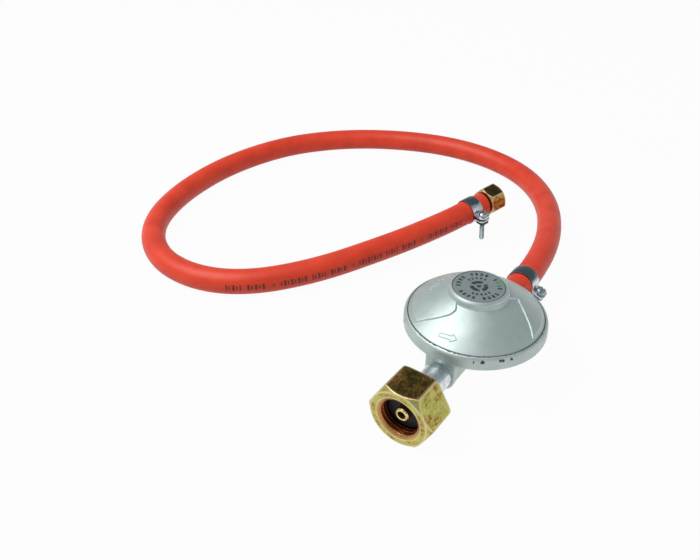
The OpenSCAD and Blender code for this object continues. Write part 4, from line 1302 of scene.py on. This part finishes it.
class FinishFrame(bpy.types.Operator):
    """Gives every node that stays its own finish"""
    bl_idname = "regulator.frame"
    bl_label = "Frame finishes"

    def execute(self, context):
        housing = context.scene.rg_housing
        zinc_x = bright_zinc("bright zinc, turned", (0.88, 0.91, 0.93))
        zinc_z = bright_zinc("bright zinc, pressed", (0.78, 0.80, 0.82), "z")
        screw = bright_zinc("bright clamp screw", (0.70, 0.74, 0.75), "z")
        dark = bright_zinc("dark clamp nut", (0.20, 0.24, 0.24), "z")
        brass = turned_brass("turned brass")
        spring = oiled_spring()
        rubber = moulded_rubber("moulded rubber")
        finishes = {
            "label_cap": printed_label(housing.label), "adjusting_screw": zinc_z,
            "main_spring": spring, "diaphragm": rubber, "diaphragm_plate": zinc_z,
            "diaphragm_stud": brass, "plate_nut": brass, "lever": zinc_z, "lever_pin": spring,
            "valve_seat": brass, "valve_plunger": brass, "valve_pad": rubber,
            "inlet_stem": zinc_x,
            # The inlet seal is black rubber, darkened further as painted shade deep inside the nut's bore
            "inlet_seal": moulded_rubber("inlet seal rubber", 0.06, (0.012, 0.01, 0.014)),
            "inlet_nozzle": turned_brass("nozzle brass", (0.93, 0.84, 0.58)),
            "inlet_filter": sintered_bronze(),
            "outlet_barb": lacquered_zinc("lacquered outlet barb", housing.lacquer),
            "outlet_clamp_screw": screw, "outlet_clamp_nut": dark, "end_clamp_screw": screw,
            "end_clamp_nut": dark, "hose_tail": brass,
        }
        for piece in bpy.data.objects:
            node = piece.get("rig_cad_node")
            if node in finishes:
                piece.data.materials.clear()
                piece.data.materials.append(finishes[node])
        return {"FINISHED"}


OPERATORS = [BuildStage, BuildHose, BuildNuts, BuildHousing, BuildClamps, FinishFrame]


class RegulatorPanel(bpy.types.Panel):
    """Lists the steps that build the regulator"""
    bl_idname = "VIEW3D_PT_regulator"
    bl_label = "Regulator"
    bl_space_type = "VIEW_3D"
    bl_region_type = "UI"
    bl_category = "Regulator"

    def draw(self, context):
        for operator in OPERATORS:
            self.layout.operator(operator.bl_idname)
        for key in SETTINGS:
            box = self.layout.box()
            group = getattr(context.scene, key)
            for name in group.__annotations__:
                box.prop(group, name)


def register():
    for cls in [*SETTINGS.values(), *OPERATORS, RegulatorPanel]:
        bpy.utils.register_class(cls)
    for key, cls in SETTINGS.items():
        setattr(bpy.types.Scene, key, PointerProperty(type=cls))


def unregister():
    for key in SETTINGS:
        delattr(bpy.types.Scene, key)
    for cls in [RegulatorPanel, *OPERATORS[::-1], *SETTINGS.values()]:
        bpy.utils.unregister_class(cls)


def main():
    """Builds the stage and every piece."""
    register()
    bpy.ops.regulator.stage()
    bpy.ops.regulator.hose()
    bpy.ops.regulator.nuts()
    bpy.ops.regulator.housing()
    bpy.ops.regulator.clamps()
    bpy.ops.regulator.frame()


if __name__ == "__main__":
    main()
